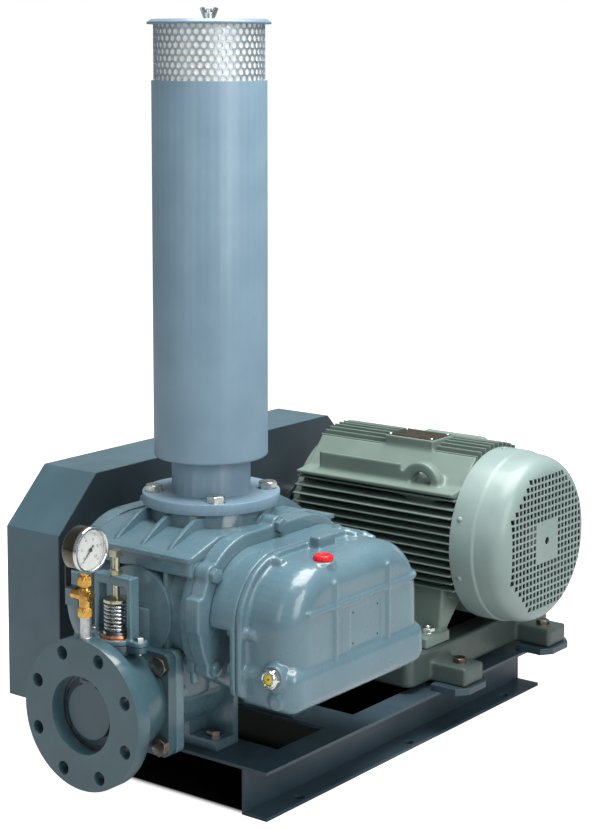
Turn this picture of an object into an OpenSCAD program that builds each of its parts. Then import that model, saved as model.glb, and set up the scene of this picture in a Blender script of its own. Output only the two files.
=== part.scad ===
// Three-lobe air blower package: blower, belt drive, motor and base with intake
// silencer, check valve, relief valve and pressure gauge.
// Origin: centre of the anchor-hole pattern, on the floor. +X runs from the blower
// to the motor, +Y to the belt guard, the discharge flange faces -X.

/* [Base] */
// Length of the welded base
base_len = 728; // [710:2:800]
// Width of the base over the tips of its channels
base_w = 368; // [360:2:400]
// Height of the base channels
channel_h = 70; // [60:1:90]
// Width of a channel flange
channel_b = 44; // [40:1:50]
// Wall of the channels and of the cross plates
channel_t = 5; // [4:0.5:7]
// Width of each end plate along the base
end_plate_w = 80; // [75:1:90]
// Width of the middle cross strip
strip_w = 70; // [60:1:80]
// Spacing of the anchor holes along the base
anchor_pitch = 275; // [250:5:290]
// Diameter of an anchor hole
anchor_d = 15; // [12:1:18]

/* [Blower] */
// Distance from the left end of the base to the suction axis
blower_from_end = 103; // [100:1:110]
// Height of the rotor shafts above the base
blower_shaft_h = 210; // [208:1:225]
// Distance between the two rotor shafts
shaft_pitch = 125; // [120:1:128]
// Length of the rotor casing
casing_len = 200; // [180:2:220]
// Thickness of the casing wall
casing_wall = 12; // [9:1:14]
// Thickness of each side plate
side_plate_t = 25; // [22:1:30]
// Diameter of the rotor shafts at their bearings
shaft_d = 40; // [36:1:44]
// Outer diameter of a rotor bearing
bearing_od = 80; // [76:1:84]
// Width of a rotor bearing
bearing_w = 18; // [16:1:20]
// Height of the suction face above the shafts
suction_face_h = 125.9; // [124:1:135]
// Drop of the discharge axis below the shafts
port_drop = 120; // [118:1:122]
// Reach of the casing's discharge face from the suction axis
port_reach = 163; // [160:1:170]
// Clearance of the rotors to the casing and to each other
rotor_gap = 0.3; // [0.2:0.05:0.4]

/* [Gear case] */
// Depth of the bearing housing in front of the side plate
housing_depth = 45; // [42:1:50]
// Depth of the gear cover
cover_depth = 80; // [76:1:90]
// Wall of the gear cover
cover_wall = 8; // [6:0.5:9]
// Width of the timing gears
gear_w = 30; // [24:1:34]

/* [Suction side] */
// Outer diameter of the suction flange
suction_flange_d = 200; // [195:1:210]
// Thickness of the suction flange
suction_flange_t = 16; // [14:1:20]
// Bolt circle of the suction flange
suction_pcd = 165; // [160:1:170]
// Outer diameter of the neck pipe
neck_d = 114.3; // [108:0.1:118]
// Height of the neck above the suction flange
neck_h = 52; // [45:1:60]
// Outer diameter of the silencer pipe
silencer_d = 165.2; // [160:0.1:170]
// Height of the silencer pipe
silencer_h = 540; // [480:10:560]
// Wall of the silencer pipe
silencer_wall = 3; // [2:0.5:5]
// Height of the perforated intake screen
screen_h = 79; // [70:1:90]
// Diameter of the intake cap
cap_d = 177; // [174:1:190]

/* [Discharge side] */
// Length of the discharge fitting
fitting_len = 113; // [108:1:120]
// Outer diameter of the discharge flange
discharge_d = 210; // [206:1:215]
// Thickness of the discharge flange
discharge_t = 24; // [22:1:26]
// Bolt circle of the discharge flange
discharge_pcd = 175; // [170:1:180]
// Diameter of a discharge flange hole
discharge_hole_d = 19; // [17:1:20]
// Side of the square flange between fitting and casing
square_flange = 146; // [140:1:150]
// Diameter of the recess in the discharge face
recess_d = 108; // [104:1:112]
// Diameter of the check flap
flap_d = 77; // [72:1:80]
// Compressed length of the relief spring
spring_h = 40; // [36:1:44]
// Outer diameter of the relief spring
spring_od = 36; // [32:1:38]
// Wire diameter of the relief spring
spring_wire = 4; // [3:0.5:5]
// Diameter of the pressure gauge
gauge_d = 62; // [56:1:66]
// Height of the gauge axis above the discharge axis
gauge_h = 228; // [226:1:240]

/* [Motor and bed] */
// Distance from the right end of the base to the motor axis
motor_from_end = 134.5; // [130:0.5:140]
// Height of the motor shaft above its feet
motor_shaft_h = 160; // [158:1:170]
// Height of the motor bed
bed_h = 49; // [45:1:60]
// Thickness of the plates under the bed lugs
support_t = 10; // [8:1:12]
// Spacing of the motor's foot holes across its shaft
foot_a = 254; // [250:1:258]
// Spacing of the motor's foot holes along its shaft
foot_b = 210; // [206:1:214]
// Outer diameter of the fan cover
fan_cover_d = 273; // [270:1:276]
// Depth of the fan cover
fan_cover_depth = 95; // [92:1:110]
// Length of the finned motor frame
frame_len = 306; // [300:2:330]
// Thickness of a cooling fin
fin_t = 3.5; // [2.5:0.5:4.5]
// Distance between the cooling fins
fin_pitch = 13; // [11:0.5:15]
// Diameter of the motor shaft
motor_shaft_d = 42; // [38:1:44]

/* [Belt drive] */
// Pitch diameter of the blower sheave
blower_sheave_d = 180; // [160:5:190]
// Pitch diameter of the motor sheave
motor_sheave_d = 150; // [120:5:180]
// Number of belts
belt_n = 3; // [2:1:3]
// Distance between neighbouring belts
belt_pitch = 19; // [18.5:0.5:20]
// Distance of the guard from the blower's casing centre
guard_y = 216; // [214:1:220]
// Depth of the belt guard
guard_depth = 111; // [105:1:120]
// Height of the belt guard
guard_h = 345; // [335:1:360]
// Sheet thickness of the guard
guard_t = 2; // [1.5:0.5:3]

/* [Hidden] */

$fn = 48;
hull_fn = 32;
// Overshoot of a cut past the face that it opens
eps = 1;
// Gap between pieces that slide or are pressed together in one body
fit = 0.02;
// Radial clearance of a shaft in its bearing
running = 0.05;
// Clearance between pieces on different bodies
body_gap = 0.3;
// Clearance of a bolt in its hole
bolt_gap = 0.25;

// Heights and centres
base_top = channel_h;
blower_x = -base_len / 2 + blower_from_end;
shaft_z = base_top + blower_shaft_h;
bed_z = base_top + support_t;
bed_top = bed_z + bed_h;
motor_x = base_len / 2 - motor_from_end;
motor_z = bed_top + motor_shaft_h;
web_y = base_w / 2 - channel_b;
anchor_y = base_w / 2 - 13;
strip_x = 192;

// Bolt sizes: shank radius, width across flats, head height
M8 = [4, 13, 5.3];
M12 = [6, 19, 7.5];
M16 = [8, 24, 10];

// Blower cross-section, measured from the middle of the two shafts
half_pitch = shaft_pitch / 2;
lobe_n = 3;
roll_r = half_pitch / (2 * lobe_n);
tip_r = half_pitch + 2 * roll_r;
bore_r = tip_r + rotor_gap;
shell_r = bore_r + casing_wall;
plate_r = bore_r + 26.4;
rim_r = plate_r - 2;
case_front = -casing_len / 2;
case_rear = casing_len / 2;
front_y = case_front - side_plate_t;
rear_y = case_rear + side_plate_t;
plate_bolts = [[-143, 66], [-143, -65], [0, 107], [0, -107], [143, 66], [143, -65]];
lug_r = 14;
rib_half = port_reach - 5;
foot_pad_t = 14;
pad_x = [-82, -34];
pad_y = [26, 77];
foot_xs = [-61, 121];
foot_bolt_y = 54;
shaft_r = shaft_d / 2;
seal_r = shaft_r + 10;
seal_w = 8;

// Gear case
housing_t = 10;
housing_y = front_y - housing_depth;
cover_y = housing_y - cover_depth;
cover_flange_t = 10;
case_r = 87;
case_low = 95;
sump_low = 108;
sump_top = 48;
sump_proud = 12;
gear_teeth = 25;
gear_module = shaft_pitch / gear_teeth;
gear_tip_r = half_pitch + gear_module;
cavity_r = case_r - 5 - cover_wall;
gear_seat_r = shaft_r - 3;
boss_r = bearing_od / 2 + 12;
gear_y = housing_y - 3;
shoulder_y = housing_y + housing_t - 1;
case_lugs = [[-98, 80], [98, 80], [-142, 30], [142, 30], [-140, -80], [140, -80]];
case_lug_r = 11;
sight = [-144, -62, -54];
sight_r = 10;
drain_z = -88;
filler = [-38, -62];
filler_r = 9;

// Rear bearings
rear_cover_t = 10;
rear_depth = 35;

// Suction side
suction_z = shaft_z + suction_face_h;
neck_z = suction_z + suction_flange_t + neck_h;
silencer_top = neck_z + silencer_h;
screen_top = silencer_top + screen_h;
neck_wall = 4.5;
cap_t = 7;
rod_r = 4;
bottom_t = 5;

// Discharge side
port_x = blower_x - port_reach;
port_z = shaft_z - port_drop;
square_t = 16;
face_x = port_x - fitting_len;
port_bolts = [[-62, -57], [-62, 57], [62, -57], [62, 57]];
seat_x = face_x + 26;
flap_t = 9;
seat_t = 8;
seat_bore = flap_d / 2 - 5;
pin_r = 2;
pin_x = seat_x - 4.5;
pin_z = port_z + flap_d / 2 + 4.5;
knuckle_r = 4.2;
relief_x = port_x - 40;
relief_z = port_z + 86;
yoke_t = 8;
yoke_h = 94;
seat_top = relief_z + 12;
disc_t = 4;
spring_bottom = seat_top + body_gap + disc_t;
spring_top = spring_bottom + spring_h;
gauge_x = face_x + discharge_t / 2;
nipple_r = 6.9;
nipple_z = port_z + discharge_d / 2 - 3;
nipple_h = 34;
gauge_z = port_z + gauge_h;
gauge_depth = 29;
cock_z = nipple_z + nipple_h;
cock_axis_z = cock_z + 27;

// Motor
cover_r = fan_cover_d / 2;
fan_y = -181;
frame_y = fan_y + frame_len;
motor_shaft_r = motor_shaft_d / 2;
stator_r = 92;
rotor_r = 68;
frame_r = 108;
fin_top = 144;
shield_t = 12;
motor_bearing_r = 42;
motor_bearing_w = 19;
foot_y = -137;
foot_t = 18;
hub_depth = 40;

// Belt drive
sheave_w = (belt_n - 1) * belt_pitch + 25;
sheave_y = guard_y + 12;
drive_x = blower_x + half_pitch;
belt_dx = motor_x - drive_x;
belt_dz = motor_z - shaft_z;
belt_c = sqrt(belt_dx * belt_dx + belt_dz * belt_dz);
belt_tilt = atan2(belt_dz, belt_dx);
belt_wrap = asin((blower_sheave_d - motor_sheave_d) / 2 / belt_c);
belt_up = 4;
belt_down = 7;
belt_half_top = 8.5;
belt_half_low = 4.8;
groove_gap = 0.3;
guard_z = base_top + 4;
guard_x0 = -base_len / 2 + 8;
guard_x1 = base_len / 2 + 30;
guard_cut = 82;

// Extrudes an XZ outline along Y, from y0 to y1
module slab(y0, y1) translate([0, y1, 0]) rotate([90, 0, 0]) linear_extrude(y1 - y0) children();
module rod_y(r, y0, y1) translate([0, y1, 0]) rotate([90, 0, 0]) cylinder(r = r, h = y1 - y0);
module rod_x(r, x0, x1) translate([x0, 0, 0]) rotate([0, 90, 0]) cylinder(r = r, h = x1 - x0);
module rod_z(r, z0, z1) translate([0, 0, z0]) cylinder(r = r, h = z1 - z0);
module box(x, y, z) translate([x[0], y[0], z[0]]) cube([x[1] - x[0], y[1] - y[0], z[1] - z[0]]);
module at_blower() translate([blower_x, 0, shaft_z]) children();
module at_motor() translate([motor_x, 0, motor_z]) children();
module at_port() translate([0, 0, port_z]) children();
module both_shafts() for (s = [-1, 1]) translate([s * half_pitch, 0, 0]) children();
module ring_z(ro, ri, z0, z1) difference() {
  rod_z(ro, z0, z1);
  rod_z(ri, z0 - eps, z1 + eps);
}
module ring_y(ro, ri, y0, y1) difference() {
  rod_y(ro, y0, y1);
  rod_y(ri, y0 - eps, y1 + eps);
}

// Two circles at the rotor shafts joined by a rectangle
module stadium(r, gap = shaft_pitch) {
  for (s = [-1, 1]) translate([s * gap / 2, 0]) circle(r);
  translate([-gap / 2, -r]) square([gap, 2 * r]);
}
module round_rect(w, h, r) {
  translate([-w / 2 + r, -h / 2]) square([w - 2 * r, h]);
  translate([-w / 2, -h / 2 + r]) square([w, h - 2 * r]);
  for (x = [-1, 1], y = [-1, 1]) translate([x * (w / 2 - r), y * (h / 2 - r)]) circle(r);
}

// Hexagon-head bolt, seated at z = 0 with its head above and its shank below
module bolt(size, len) {
  cylinder(r = size[1] / 2 / cos(30), h = size[2], $fn = 6);
  translate([0, 0, -len]) cylinder(r = size[0], h = len);
}
module nut(size) difference() {
  cylinder(r = size[1] / 2 / cos(30), h = size[2], $fn = 6);
  translate([0, 0, -eps]) cylinder(r = size[0] + fit, h = size[2] + 2 * eps);
}

// Base
module channel() {
  box([-base_len / 2, base_len / 2], [-web_y - channel_t, -web_y], [0, channel_h]);
  for (z = [0, channel_h - channel_t])
    box([-base_len / 2, base_len / 2], [-base_w / 2, -web_y - channel_t + 0.01], [z, z + channel_t]);
}

module base_beams() color("#46525f")
  for (m = [0, 1]) mirror([0, m, 0]) difference() {
    channel();
    for (x = [-1, 0, 1]) translate([x * anchor_pitch, -anchor_y, 0])
      rod_z(anchor_d / 2, -eps, channel_t + eps);
    for (x = lug_xs) translate([x, -anchor_y, 0])
      rod_z(M12[0] + bolt_gap, channel_h - channel_t - eps, channel_h + eps);
  }

module foot_places() for (x = foot_xs, s = [-1, 1]) translate([blower_x + x, s * foot_bolt_y, 0]) children();

module base_cross_plates() color("#46525f") difference() {
  for (x = [-base_len / 2, -base_len / 2 + strip_x, base_len / 2 - end_plate_w])
    box([x, x + (x == -base_len / 2 + strip_x ? strip_w : end_plate_w)], [-web_y, web_y],
        [channel_h - channel_t, channel_h]);
  foot_places() rod_z(M12[0] + bolt_gap, channel_h - channel_t - eps, channel_h + eps);
}

lug_xs = [motor_x - foot_a / 2, motor_x + foot_a / 2];
lug_front = -196;
lug_back = 136;
module support_plate() difference() {
  linear_extrude(support_t) polygon([[-42, 26], [42, 26], [42, -20], [24, -34], [-24, -34], [-42, -20]]);
  rod_z(M12[0] + bolt_gap, -eps, support_t + eps);
}
module bed_support_plates() color("#46525f") for (x = lug_xs) {
  translate([x, lug_front, base_top]) support_plate();
  translate([x, lug_back, base_top]) mirror([0, 1, 0]) support_plate();
}

module guard_brackets() color("#46525f") for (x = [guard_x0 + 60, guard_x1 - 200])
  box([x, x + 60], [web_y, guard_y + guard_depth - 8], [base_top, guard_z]);

// Motor bed
bed_x0 = motor_x - 211;
bed_x1 = motor_x + 211;
bed_y0 = -160;
bed_y1 = 104;
module motor_bed() color("#6d7068") difference() {
  union() {
    translate([(bed_x0 + bed_x1) / 2, (bed_y0 + bed_y1) / 2, bed_z])
      linear_extrude(bed_h) round_rect(bed_x1 - bed_x0, bed_y1 - bed_y0, 14);
    for (x = lug_xs) box([x - 27, x + 27], [bed_y0 - 64, bed_y1 + 60], [bed_z, bed_z + 30]);
  }
  translate([motor_x, (bed_y0 + bed_y1) / 2, bed_z - eps])
    linear_extrude(bed_h + 2 * eps) round_rect(170, 180, 6);
  for (x = lug_xs, y = [lug_front, lug_back]) translate([x, y, 0])
    rod_z(M12[0] + bolt_gap, bed_z - eps, bed_top + eps);
  motor_foot_places() rod_z(M12[0] + bolt_gap, bed_z + 12, bed_top + eps);
}
module motor_foot_places() for (x = lug_xs, y = [foot_y, foot_y + foot_b]) translate([x, y, 0]) children();

module bed_bolts() color("#b9bdb8") for (x = lug_xs, y = [lug_front, lug_back])
  translate([x, y, bed_z + 30]) bolt(M12, 30 + support_t - 1);

// Motor
module fin_bars(n, reach, offset = 0) for (i = [-n:n])
  translate([0, i * fin_pitch + offset - fin_t / 2]) square([reach, fin_t]);
module motor_section() {
  circle(frame_r);
  intersection() {
    circle(fin_top);
    union() {
      for (a = [0, 180]) rotate(a) fin_bars(5, cover_r);
      rotate(90) fin_bars(5, fin_top);
      for (a = [45, 135]) rotate(a) translate([0, -32]) square([138, 64]);
      rotate(-90) fin_bars(3, frame_r + 22);
    }
  }
}
module motor_foot() {
  box([-32, 32], [-20, foot_b + 20], [bed_top, bed_top + foot_t]);
}
module motor_frame() color("#8d958c") difference() {
  union() {
    at_motor() slab(fan_y, frame_y) motor_section();
    for (s = [-1, 1]) translate([motor_x + s * foot_a / 2, foot_y, 0]) motor_foot();
    at_motor() for (s = [-1, 1]) slab(foot_y - 18, foot_y + foot_b + 18)
      polygon([[s * 60, -80], [s * 104, -60], [s * 112, foot_t - motor_shaft_h], [s * 84, foot_t - motor_shaft_h]]);
  }
  at_motor() rod_y(stator_r, fan_y - eps, frame_y + eps);
  motor_foot_places() rod_z(M12[0] + bolt_gap, bed_top - eps, bed_top + foot_t + eps);
}

module motor_stator() color("#7d5a3c") at_motor() ring_y(stator_r - fit, rotor_r + 1, fan_y + 60, frame_y - 60);

module shield(depth) difference() {
  union() {
    rod_y(frame_r + 14, -shield_t, 0);
    rod_y(motor_bearing_r + 14, -depth, 0);
  }
  rod_y(motor_shaft_r + 2, -depth - eps, eps);
  rod_y(motor_bearing_r + fit, -depth + 6, eps);
}
module motor_end_shields() color("#8d958c") at_motor() {
  translate([0, frame_y, 0]) mirror([0, 1, 0]) shield(hub_depth);
  translate([0, fan_y, 0]) difference() {
    union() {
      shield(28);
      rod_y(cover_r - 2 - fit, -shield_t, 0);
    }
    rod_y(motor_shaft_r + 2, -30, eps);
    rod_y(motor_bearing_r + fit, -22, eps);
  }
}

module fan_cover() color("#a9b3a9") at_motor() translate([0, fan_y, 0]) rotate([90, 0, 0]) difference() {
  rotate_extrude() polygon(concat(
    [[0, fan_cover_depth], [cover_r - 30, fan_cover_depth]],
    [for (a = [80:-10:10]) [cover_r - 30 + 26 * cos(a), fan_cover_depth - 26 + 26 * sin(a)]],
    [[cover_r - 4, fan_cover_depth - 28], [cover_r - 1.5, 42], [cover_r, 40], [cover_r, 0], [cover_r - 2, 0],
     [cover_r - 2, 40], [cover_r - 6, fan_cover_depth - 28]],
    [for (a = [10:10:80]) [cover_r - 30 + 24 * cos(a), fan_cover_depth - 26 + 24 * sin(a)]],
    [[cover_r - 32, fan_cover_depth - 2], [0, fan_cover_depth - 2]]));
  rod_z(6, fan_cover_depth - 3, fan_cover_depth + eps);
}

module cooling_fan() color("#555b55") at_motor() translate([0, fan_y - 32, 0]) difference() {
  union() {
    rod_y(34, -34, 0);
    rod_y(104, -4, 0);
    for (a = [0:45:315]) rotate([0, a, 0]) box([30, 102], [-36, -2], [-1.5, 1.5]);
  }
  rod_y(motor_shaft_r - 4 + fit, -40, eps);
}

module motor_rotor() color("#9a9c9e") at_motor() {
  rod_y(motor_shaft_r, fan_y - 26, sheave_y + sheave_w);
  rod_y(motor_shaft_r - 4, fan_y - 68, fan_y - 25);
  rod_y(rotor_r, fan_y + 60, frame_y - 60);
}

module terminal_box() color("#8d958c") at_motor() {
  box([cover_r, cover_r + 58], [-47, 85], [-34, 106]);
}

module foot_bolts() color("#b9bdb8") {
  foot_places() translate([0, 0, base_top + foot_pad_t]) bolt(M12, foot_pad_t + channel_t + 14);
  foot_places() translate([0, 0, base_top - channel_t - M12[2] - 1]) nut(M12);
  motor_foot_places() translate([0, 0, bed_top + foot_t]) bolt(M12, foot_t + 30);
}

// Belt drive
module groove(rp) polygon([
  [rp - belt_down - groove_gap - 2, -belt_half_low - groove_gap],
  [rp + 6, -belt_half_top - groove_gap - 0.7],
  [rp + 6, belt_half_top + groove_gap + 0.7],
  [rp - belt_down - groove_gap - 2, belt_half_low + groove_gap]]);
module sheave(rp, bore) rotate([-90, 0, 0]) rotate_extrude() difference() {
  translate([bore, 0]) square([rp + 5.5 - bore, sheave_w]);
  for (i = [0:belt_n - 1]) translate([0, 12.5 + i * belt_pitch]) groove(rp);
  translate([bore + 18, -eps]) square([rp - bore - 38, 14 + eps]);
  translate([bore + 18, sheave_w - 14]) square([rp - bore - 38, 14 + eps]);
}
module motor_sheave() color("#5d666e") translate([motor_x, sheave_y, motor_z])
  sheave(motor_sheave_d / 2, motor_shaft_r + fit);
module blower_sheave() color("#5d666e") translate([drive_x, sheave_y, shaft_z])
  sheave(blower_sheave_d / 2, shaft_r + fit);

module belt_section() polygon([[-belt_down, -belt_half_low], [belt_up, -belt_half_top],
  [belt_up, belt_half_top], [-belt_down, belt_half_low]]);
module v_belt() {
  r1 = blower_sheave_d / 2;
  r2 = motor_sheave_d / 2;
  run = belt_c * cos(belt_wrap);
  rotate([0, 0, 90 - belt_wrap]) rotate_extrude(angle = 180 + 2 * belt_wrap) translate([r1, 0]) belt_section();
  translate([belt_c, 0, 0]) rotate([0, 0, belt_wrap - 90])
    rotate_extrude(angle = 180 - 2 * belt_wrap) translate([r2, 0]) belt_section();
  for (m = [0, 1]) mirror([0, m, 0]) rotate([0, 0, 90 - belt_wrap]) translate([r1, 0, 0])
    rotate([90, 0, 0]) linear_extrude(run) belt_section();
}
module v_belts() color("#2b2d2f") for (i = [0:belt_n - 1])
  translate([drive_x, sheave_y + 12.5 + i * belt_pitch, shaft_z]) rotate([90, 0, 0])
    rotate([0, 0, belt_tilt]) v_belt();

module guard_outline(grow = 0) polygon([
  [guard_x0 - grow, guard_z - grow], [guard_x1 + grow, guard_z - grow],
  [guard_x1 + grow, guard_z + guard_h - guard_cut + grow * 0.41],
  [guard_x1 - guard_cut + grow * 0.41, guard_z + guard_h + grow],
  [guard_x0 + guard_cut - grow * 0.41, guard_z + guard_h + grow],
  [guard_x0 - grow, guard_z + guard_h - guard_cut + grow * 0.41]]);
module guard_back_plate() color("#4c5a68") difference() {
  slab(guard_y, guard_y + guard_t) guard_outline();
  translate([drive_x, 0, shaft_z]) rod_y(shaft_r + 4, guard_y - eps, guard_y + guard_t + eps);
  translate([motor_x, 0, motor_z]) rod_y(motor_shaft_r + 4, guard_y - eps, guard_y + guard_t + eps);
}
module guard_cover() color("#4c5a68") difference() {
  slab(guard_y + guard_t, guard_y + guard_depth) guard_outline();
  slab(guard_y, guard_y + guard_depth - guard_t) guard_outline(-guard_t);
}

// Rotor casing
module lugs(places, r) for (p = places) translate(p) circle(r);
module rib_outline() intersection() {
  translate([-rib_half, -50]) square([2 * rib_half, 172]);
  translate([0, -108]) circle(250);
}
module casing_foot() {
  box(pad_x, pad_y, [-blower_shaft_h, -blower_shaft_h + foot_pad_t]);
  box([pad_x[0], pad_x[1]], [pad_y[0] - 10, pad_y[0]], [-blower_shaft_h, -90]);
  box([pad_x[1] - 10, pad_x[1]], [pad_y[0] - 10, pad_y[1]], [-blower_shaft_h, -90]);
}
module blower_casing() color("#66747f") at_blower() difference() {
  union() {
    slab(case_front, case_rear) stadium(shell_r);
    for (m = [0, 1]) mirror([0, m, 0]) slab(case_front, case_front + 14) {
      stadium(rim_r);
      lugs(plate_bolts, lug_r);
    }
    for (y = [-50, 0, 50]) slab(y - 3.5, y + 3.5) rib_outline();
    for (s = [-1, 1]) mirror([s < 0 ? 1 : 0, 0, 0])
      box([120, 167], [case_front + 1, case_rear - 1], [82, 88]);
    rod_z(92, 60, suction_face_h);
    rod_x(63, -port_reach, 10);
    translate([0, 0, -port_drop]) {
      rod_x(62, -port_reach + 2, 20);
      translate([-port_reach, 0, 0]) rotate([0, 90, 0]) linear_extrude(square_t)
        round_rect(square_flange, square_flange, 10);
    }
    for (m = [0, 1]) mirror([0, m, 0]) {
      casing_foot();
      translate([foot_xs[0] + foot_xs[1], 0, 0]) mirror([1, 0, 0]) casing_foot();
    }
  }
  slab(case_front - eps, case_rear + eps) for (s = [-1, 1]) translate([s * half_pitch, 0]) circle(bore_r);
  rod_z(50, 0, suction_face_h + eps);
  translate([0, 0, -port_drop]) rod_x(45, -port_reach - eps, -port_reach + square_t);
  translate([0, 0, -port_drop - 8]) rotate([0, 90, 0]) translate([0, 0, -port_reach + 2])
    linear_extrude(port_reach + 30) rotate(90) stadium(35, 40);
  box([-32, 32], [-52, 52], [-port_drop, -40]);
  for (p = plate_bolts) translate([p[0], 0, p[1]]) for (m = [0, 1]) mirror([0, m, 0])
    rod_y(M12[0] + bolt_gap, case_front - eps, case_front + 30);
  for (a = [45:90:315]) rotate(a) translate([suction_pcd / 2, 0, 0])
    rod_z(M16[0] + bolt_gap, suction_face_h - 28, suction_face_h + eps);
  for (p = port_bolts) translate([0, p[0], -port_drop + p[1]])
    rod_x(M16[0] + bolt_gap, -port_reach - eps, -port_reach + square_t + eps);
  for (x = foot_xs, s = [-1, 1]) translate([x, s * foot_bolt_y, 0])
    rod_z(M12[0] + bolt_gap, -blower_shaft_h - eps, -blower_shaft_h + foot_pad_t + eps);
}

module side_plate() difference() {
  slab(front_y, case_front) {
    stadium(plate_r);
    lugs(plate_bolts, lug_r);
    translate([-176, -11]) square([30, 49]);
  }
  both_shafts() {
    rod_y(seal_r + fit, front_y - eps, case_front - 8);
    rod_y(shaft_r + 2, front_y - eps, case_front + eps);
  }
  for (p = plate_bolts) translate([p[0], 0, p[1]]) rod_y(M12[0] + bolt_gap, front_y - eps, case_front + eps);
}
module front_side_plate() color("#66747f") at_blower() side_plate();
module rear_side_plate() color("#66747f") at_blower() mirror([0, 1, 0]) side_plate();

module casing_bolts() color("#66747f") at_blower() {
  for (p = plate_bolts, m = [0, 1]) mirror([0, m, 0]) translate([p[0], front_y, p[1]])
    rotate([90, 0, 0]) bolt(M12, side_plate_t + 26);
  for (p = case_lugs) translate([p[0], housing_y + housing_t, p[1]])
    rotate([-90, 0, 0]) bolt(M8, housing_t + cover_flange_t - 2);
}

// Rotors: a cycloid lobe profile, set in by the clearance along its normal
lobe_steps = 20;
function epi(t) = [(half_pitch + roll_r) * cos(t) - roll_r * cos((2 * lobe_n + 1) * t),
                   (half_pitch + roll_r) * sin(t) - roll_r * sin((2 * lobe_n + 1) * t)];
function hypo(t) = [(half_pitch - roll_r) * cos(t) + roll_r * cos((2 * lobe_n - 1) * t),
                    (half_pitch - roll_r) * sin(t) - roll_r * sin((2 * lobe_n - 1) * t)];
function pitch_point(t) = [half_pitch * cos(t), half_pitch * sin(t)];
function set_in(p, c, side) = p - side * rotor_gap / 2 * (p - c) / norm(p - c);
function turned(p, a) = [p[0] * cos(a) - p[1] * sin(a), p[0] * sin(a) + p[1] * cos(a)];
function lobe_points() = [for (k = [0:lobe_n - 1], half = [0, 1], i = [0:lobe_steps - 1])
  let(t = (i + 0.5) * 180 / lobe_n / lobe_steps, a = k * 360 / lobe_n + (half - 0.5) * 180 / lobe_n)
  half == 0 ? turned(set_in(epi(t), pitch_point(t), 1), a)
            : turned(set_in(hypo(t), pitch_point(t), -1), a)];
module rotor(y_rear) {
  slab(case_front + rotor_gap, case_rear - rotor_gap) polygon(lobe_points());
  rod_y(shaft_r, shoulder_y, y_rear);
  rod_y(gear_seat_r, gear_y - gear_w - 6, shoulder_y + eps);
}
module drive_rotor() color("#9aa0a5") at_blower() translate([half_pitch, 0, 0]) rotor(sheave_y + sheave_w);
module driven_rotor() color("#9aa0a5") at_blower() translate([-half_pitch, 0, 0]) rotor(rear_y + rear_depth - 12);

module ball_bearings() color("#b5b8ba") {
  at_blower() both_shafts() {
    ring_y(bearing_od / 2, shaft_r + running, housing_y + housing_t, housing_y + housing_t + bearing_w);
    ring_y(bearing_od / 2, shaft_r + running, rear_y + 4, rear_y + 4 + bearing_w);
  }
  at_motor() {
    ring_y(motor_bearing_r, motor_shaft_r + running, fan_y - 22, fan_y - 22 + motor_bearing_w);
    ring_y(motor_bearing_r, motor_shaft_r + running, frame_y + hub_depth - 6 - motor_bearing_w, frame_y + hub_depth - 6);
  }
}

module shaft_seals() color("#303335") at_blower() both_shafts() for (m = [0, 1]) mirror([0, m, 0])
  ring_y(seal_r, shaft_r + running, case_front - 8 - seal_w, case_front - 8);

// Timing gears with involute teeth
pressure = 20;
base_r = half_pitch * cos(pressure);
gear_backlash = 0.35;
function involute(a) = tan(a) - a * PI / 180;
function half_tooth(r) = (PI / 2 - gear_backlash / gear_module / 2) / gear_teeth * 180 / PI
  + (involute(pressure) - involute(acos(min(1, base_r / r)))) * 180 / PI;
flank_steps = 5;
function gear_points() = [for (k = [0:gear_teeth - 1]) each concat(
  [turned([half_pitch - 1.25 * gear_module, 0], (k * 360 - 150) / gear_teeth)],
  [for (i = [0:flank_steps]) let(r = base_r + (gear_tip_r - 0.3 - base_r) * i / flank_steps)
    turned([r, 0], k * 360 / gear_teeth - half_tooth(r))],
  [for (i = [flank_steps:-1:0]) let(r = base_r + (gear_tip_r - 0.3 - base_r) * i / flank_steps)
    turned([r, 0], k * 360 / gear_teeth + half_tooth(r))],
  [turned([half_pitch - 1.25 * gear_module, 0], (k * 360 + 150) / gear_teeth)])];
module timing_gear() difference() {
  union() {
    slab(gear_y - gear_w, gear_y) polygon(gear_points());
    rod_y(gear_seat_r + 6, gear_y - eps, shoulder_y);
  }
  rod_y(gear_seat_r + fit, gear_y - gear_w - eps, shoulder_y + eps);
  ring_y(46, 30, gear_y - gear_w - eps, gear_y - gear_w + 8);
}
module drive_timing_gear() color("#8b8f92") at_blower() translate([half_pitch, 0, 0]) timing_gear();
module driven_timing_gear() color("#8b8f92") at_blower() translate([-half_pitch, 0, 0]) timing_gear();

// Gear case
module case_outline(in = 0) {
  stadium(case_r - in);
  translate([-half_pitch - case_r + in, -case_low + in + 12]) square([shaft_pitch + 2 * case_r - 2 * in, case_low - in - 12]);
  translate([-half_pitch - case_r + in + 12, -case_low + in])
    square([shaft_pitch + 2 * case_r - 2 * in - 24, case_low - in]);
  for (s = [-1, 1]) translate([s * (half_pitch + case_r - in - 12), -case_low + in + 12]) circle(12);
}
module bearing_housing() color("#66747f") at_blower() difference() {
  union() {
    slab(housing_y, housing_y + housing_t) {
      case_outline();
      lugs(case_lugs, case_lug_r);
    }
    slab(housing_y + housing_t - eps, front_y) {
      for (s = [-1, 1]) translate([s * half_pitch, 0]) circle(boss_r);
      translate([-160, -4]) square([320, 8]);
      translate([-4, -92]) square([8, 178]);
    }
  }
  both_shafts() {
    rod_y(bearing_od / 2 + fit, housing_y - eps, housing_y + housing_t + bearing_w);
    rod_y(shaft_r + 8, housing_y - eps, front_y + eps);
  }
  for (p = case_lugs) translate([p[0], 0, p[1]]) rod_y(M8[0] + bolt_gap, housing_y - eps, housing_y + housing_t + eps);
}

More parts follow.
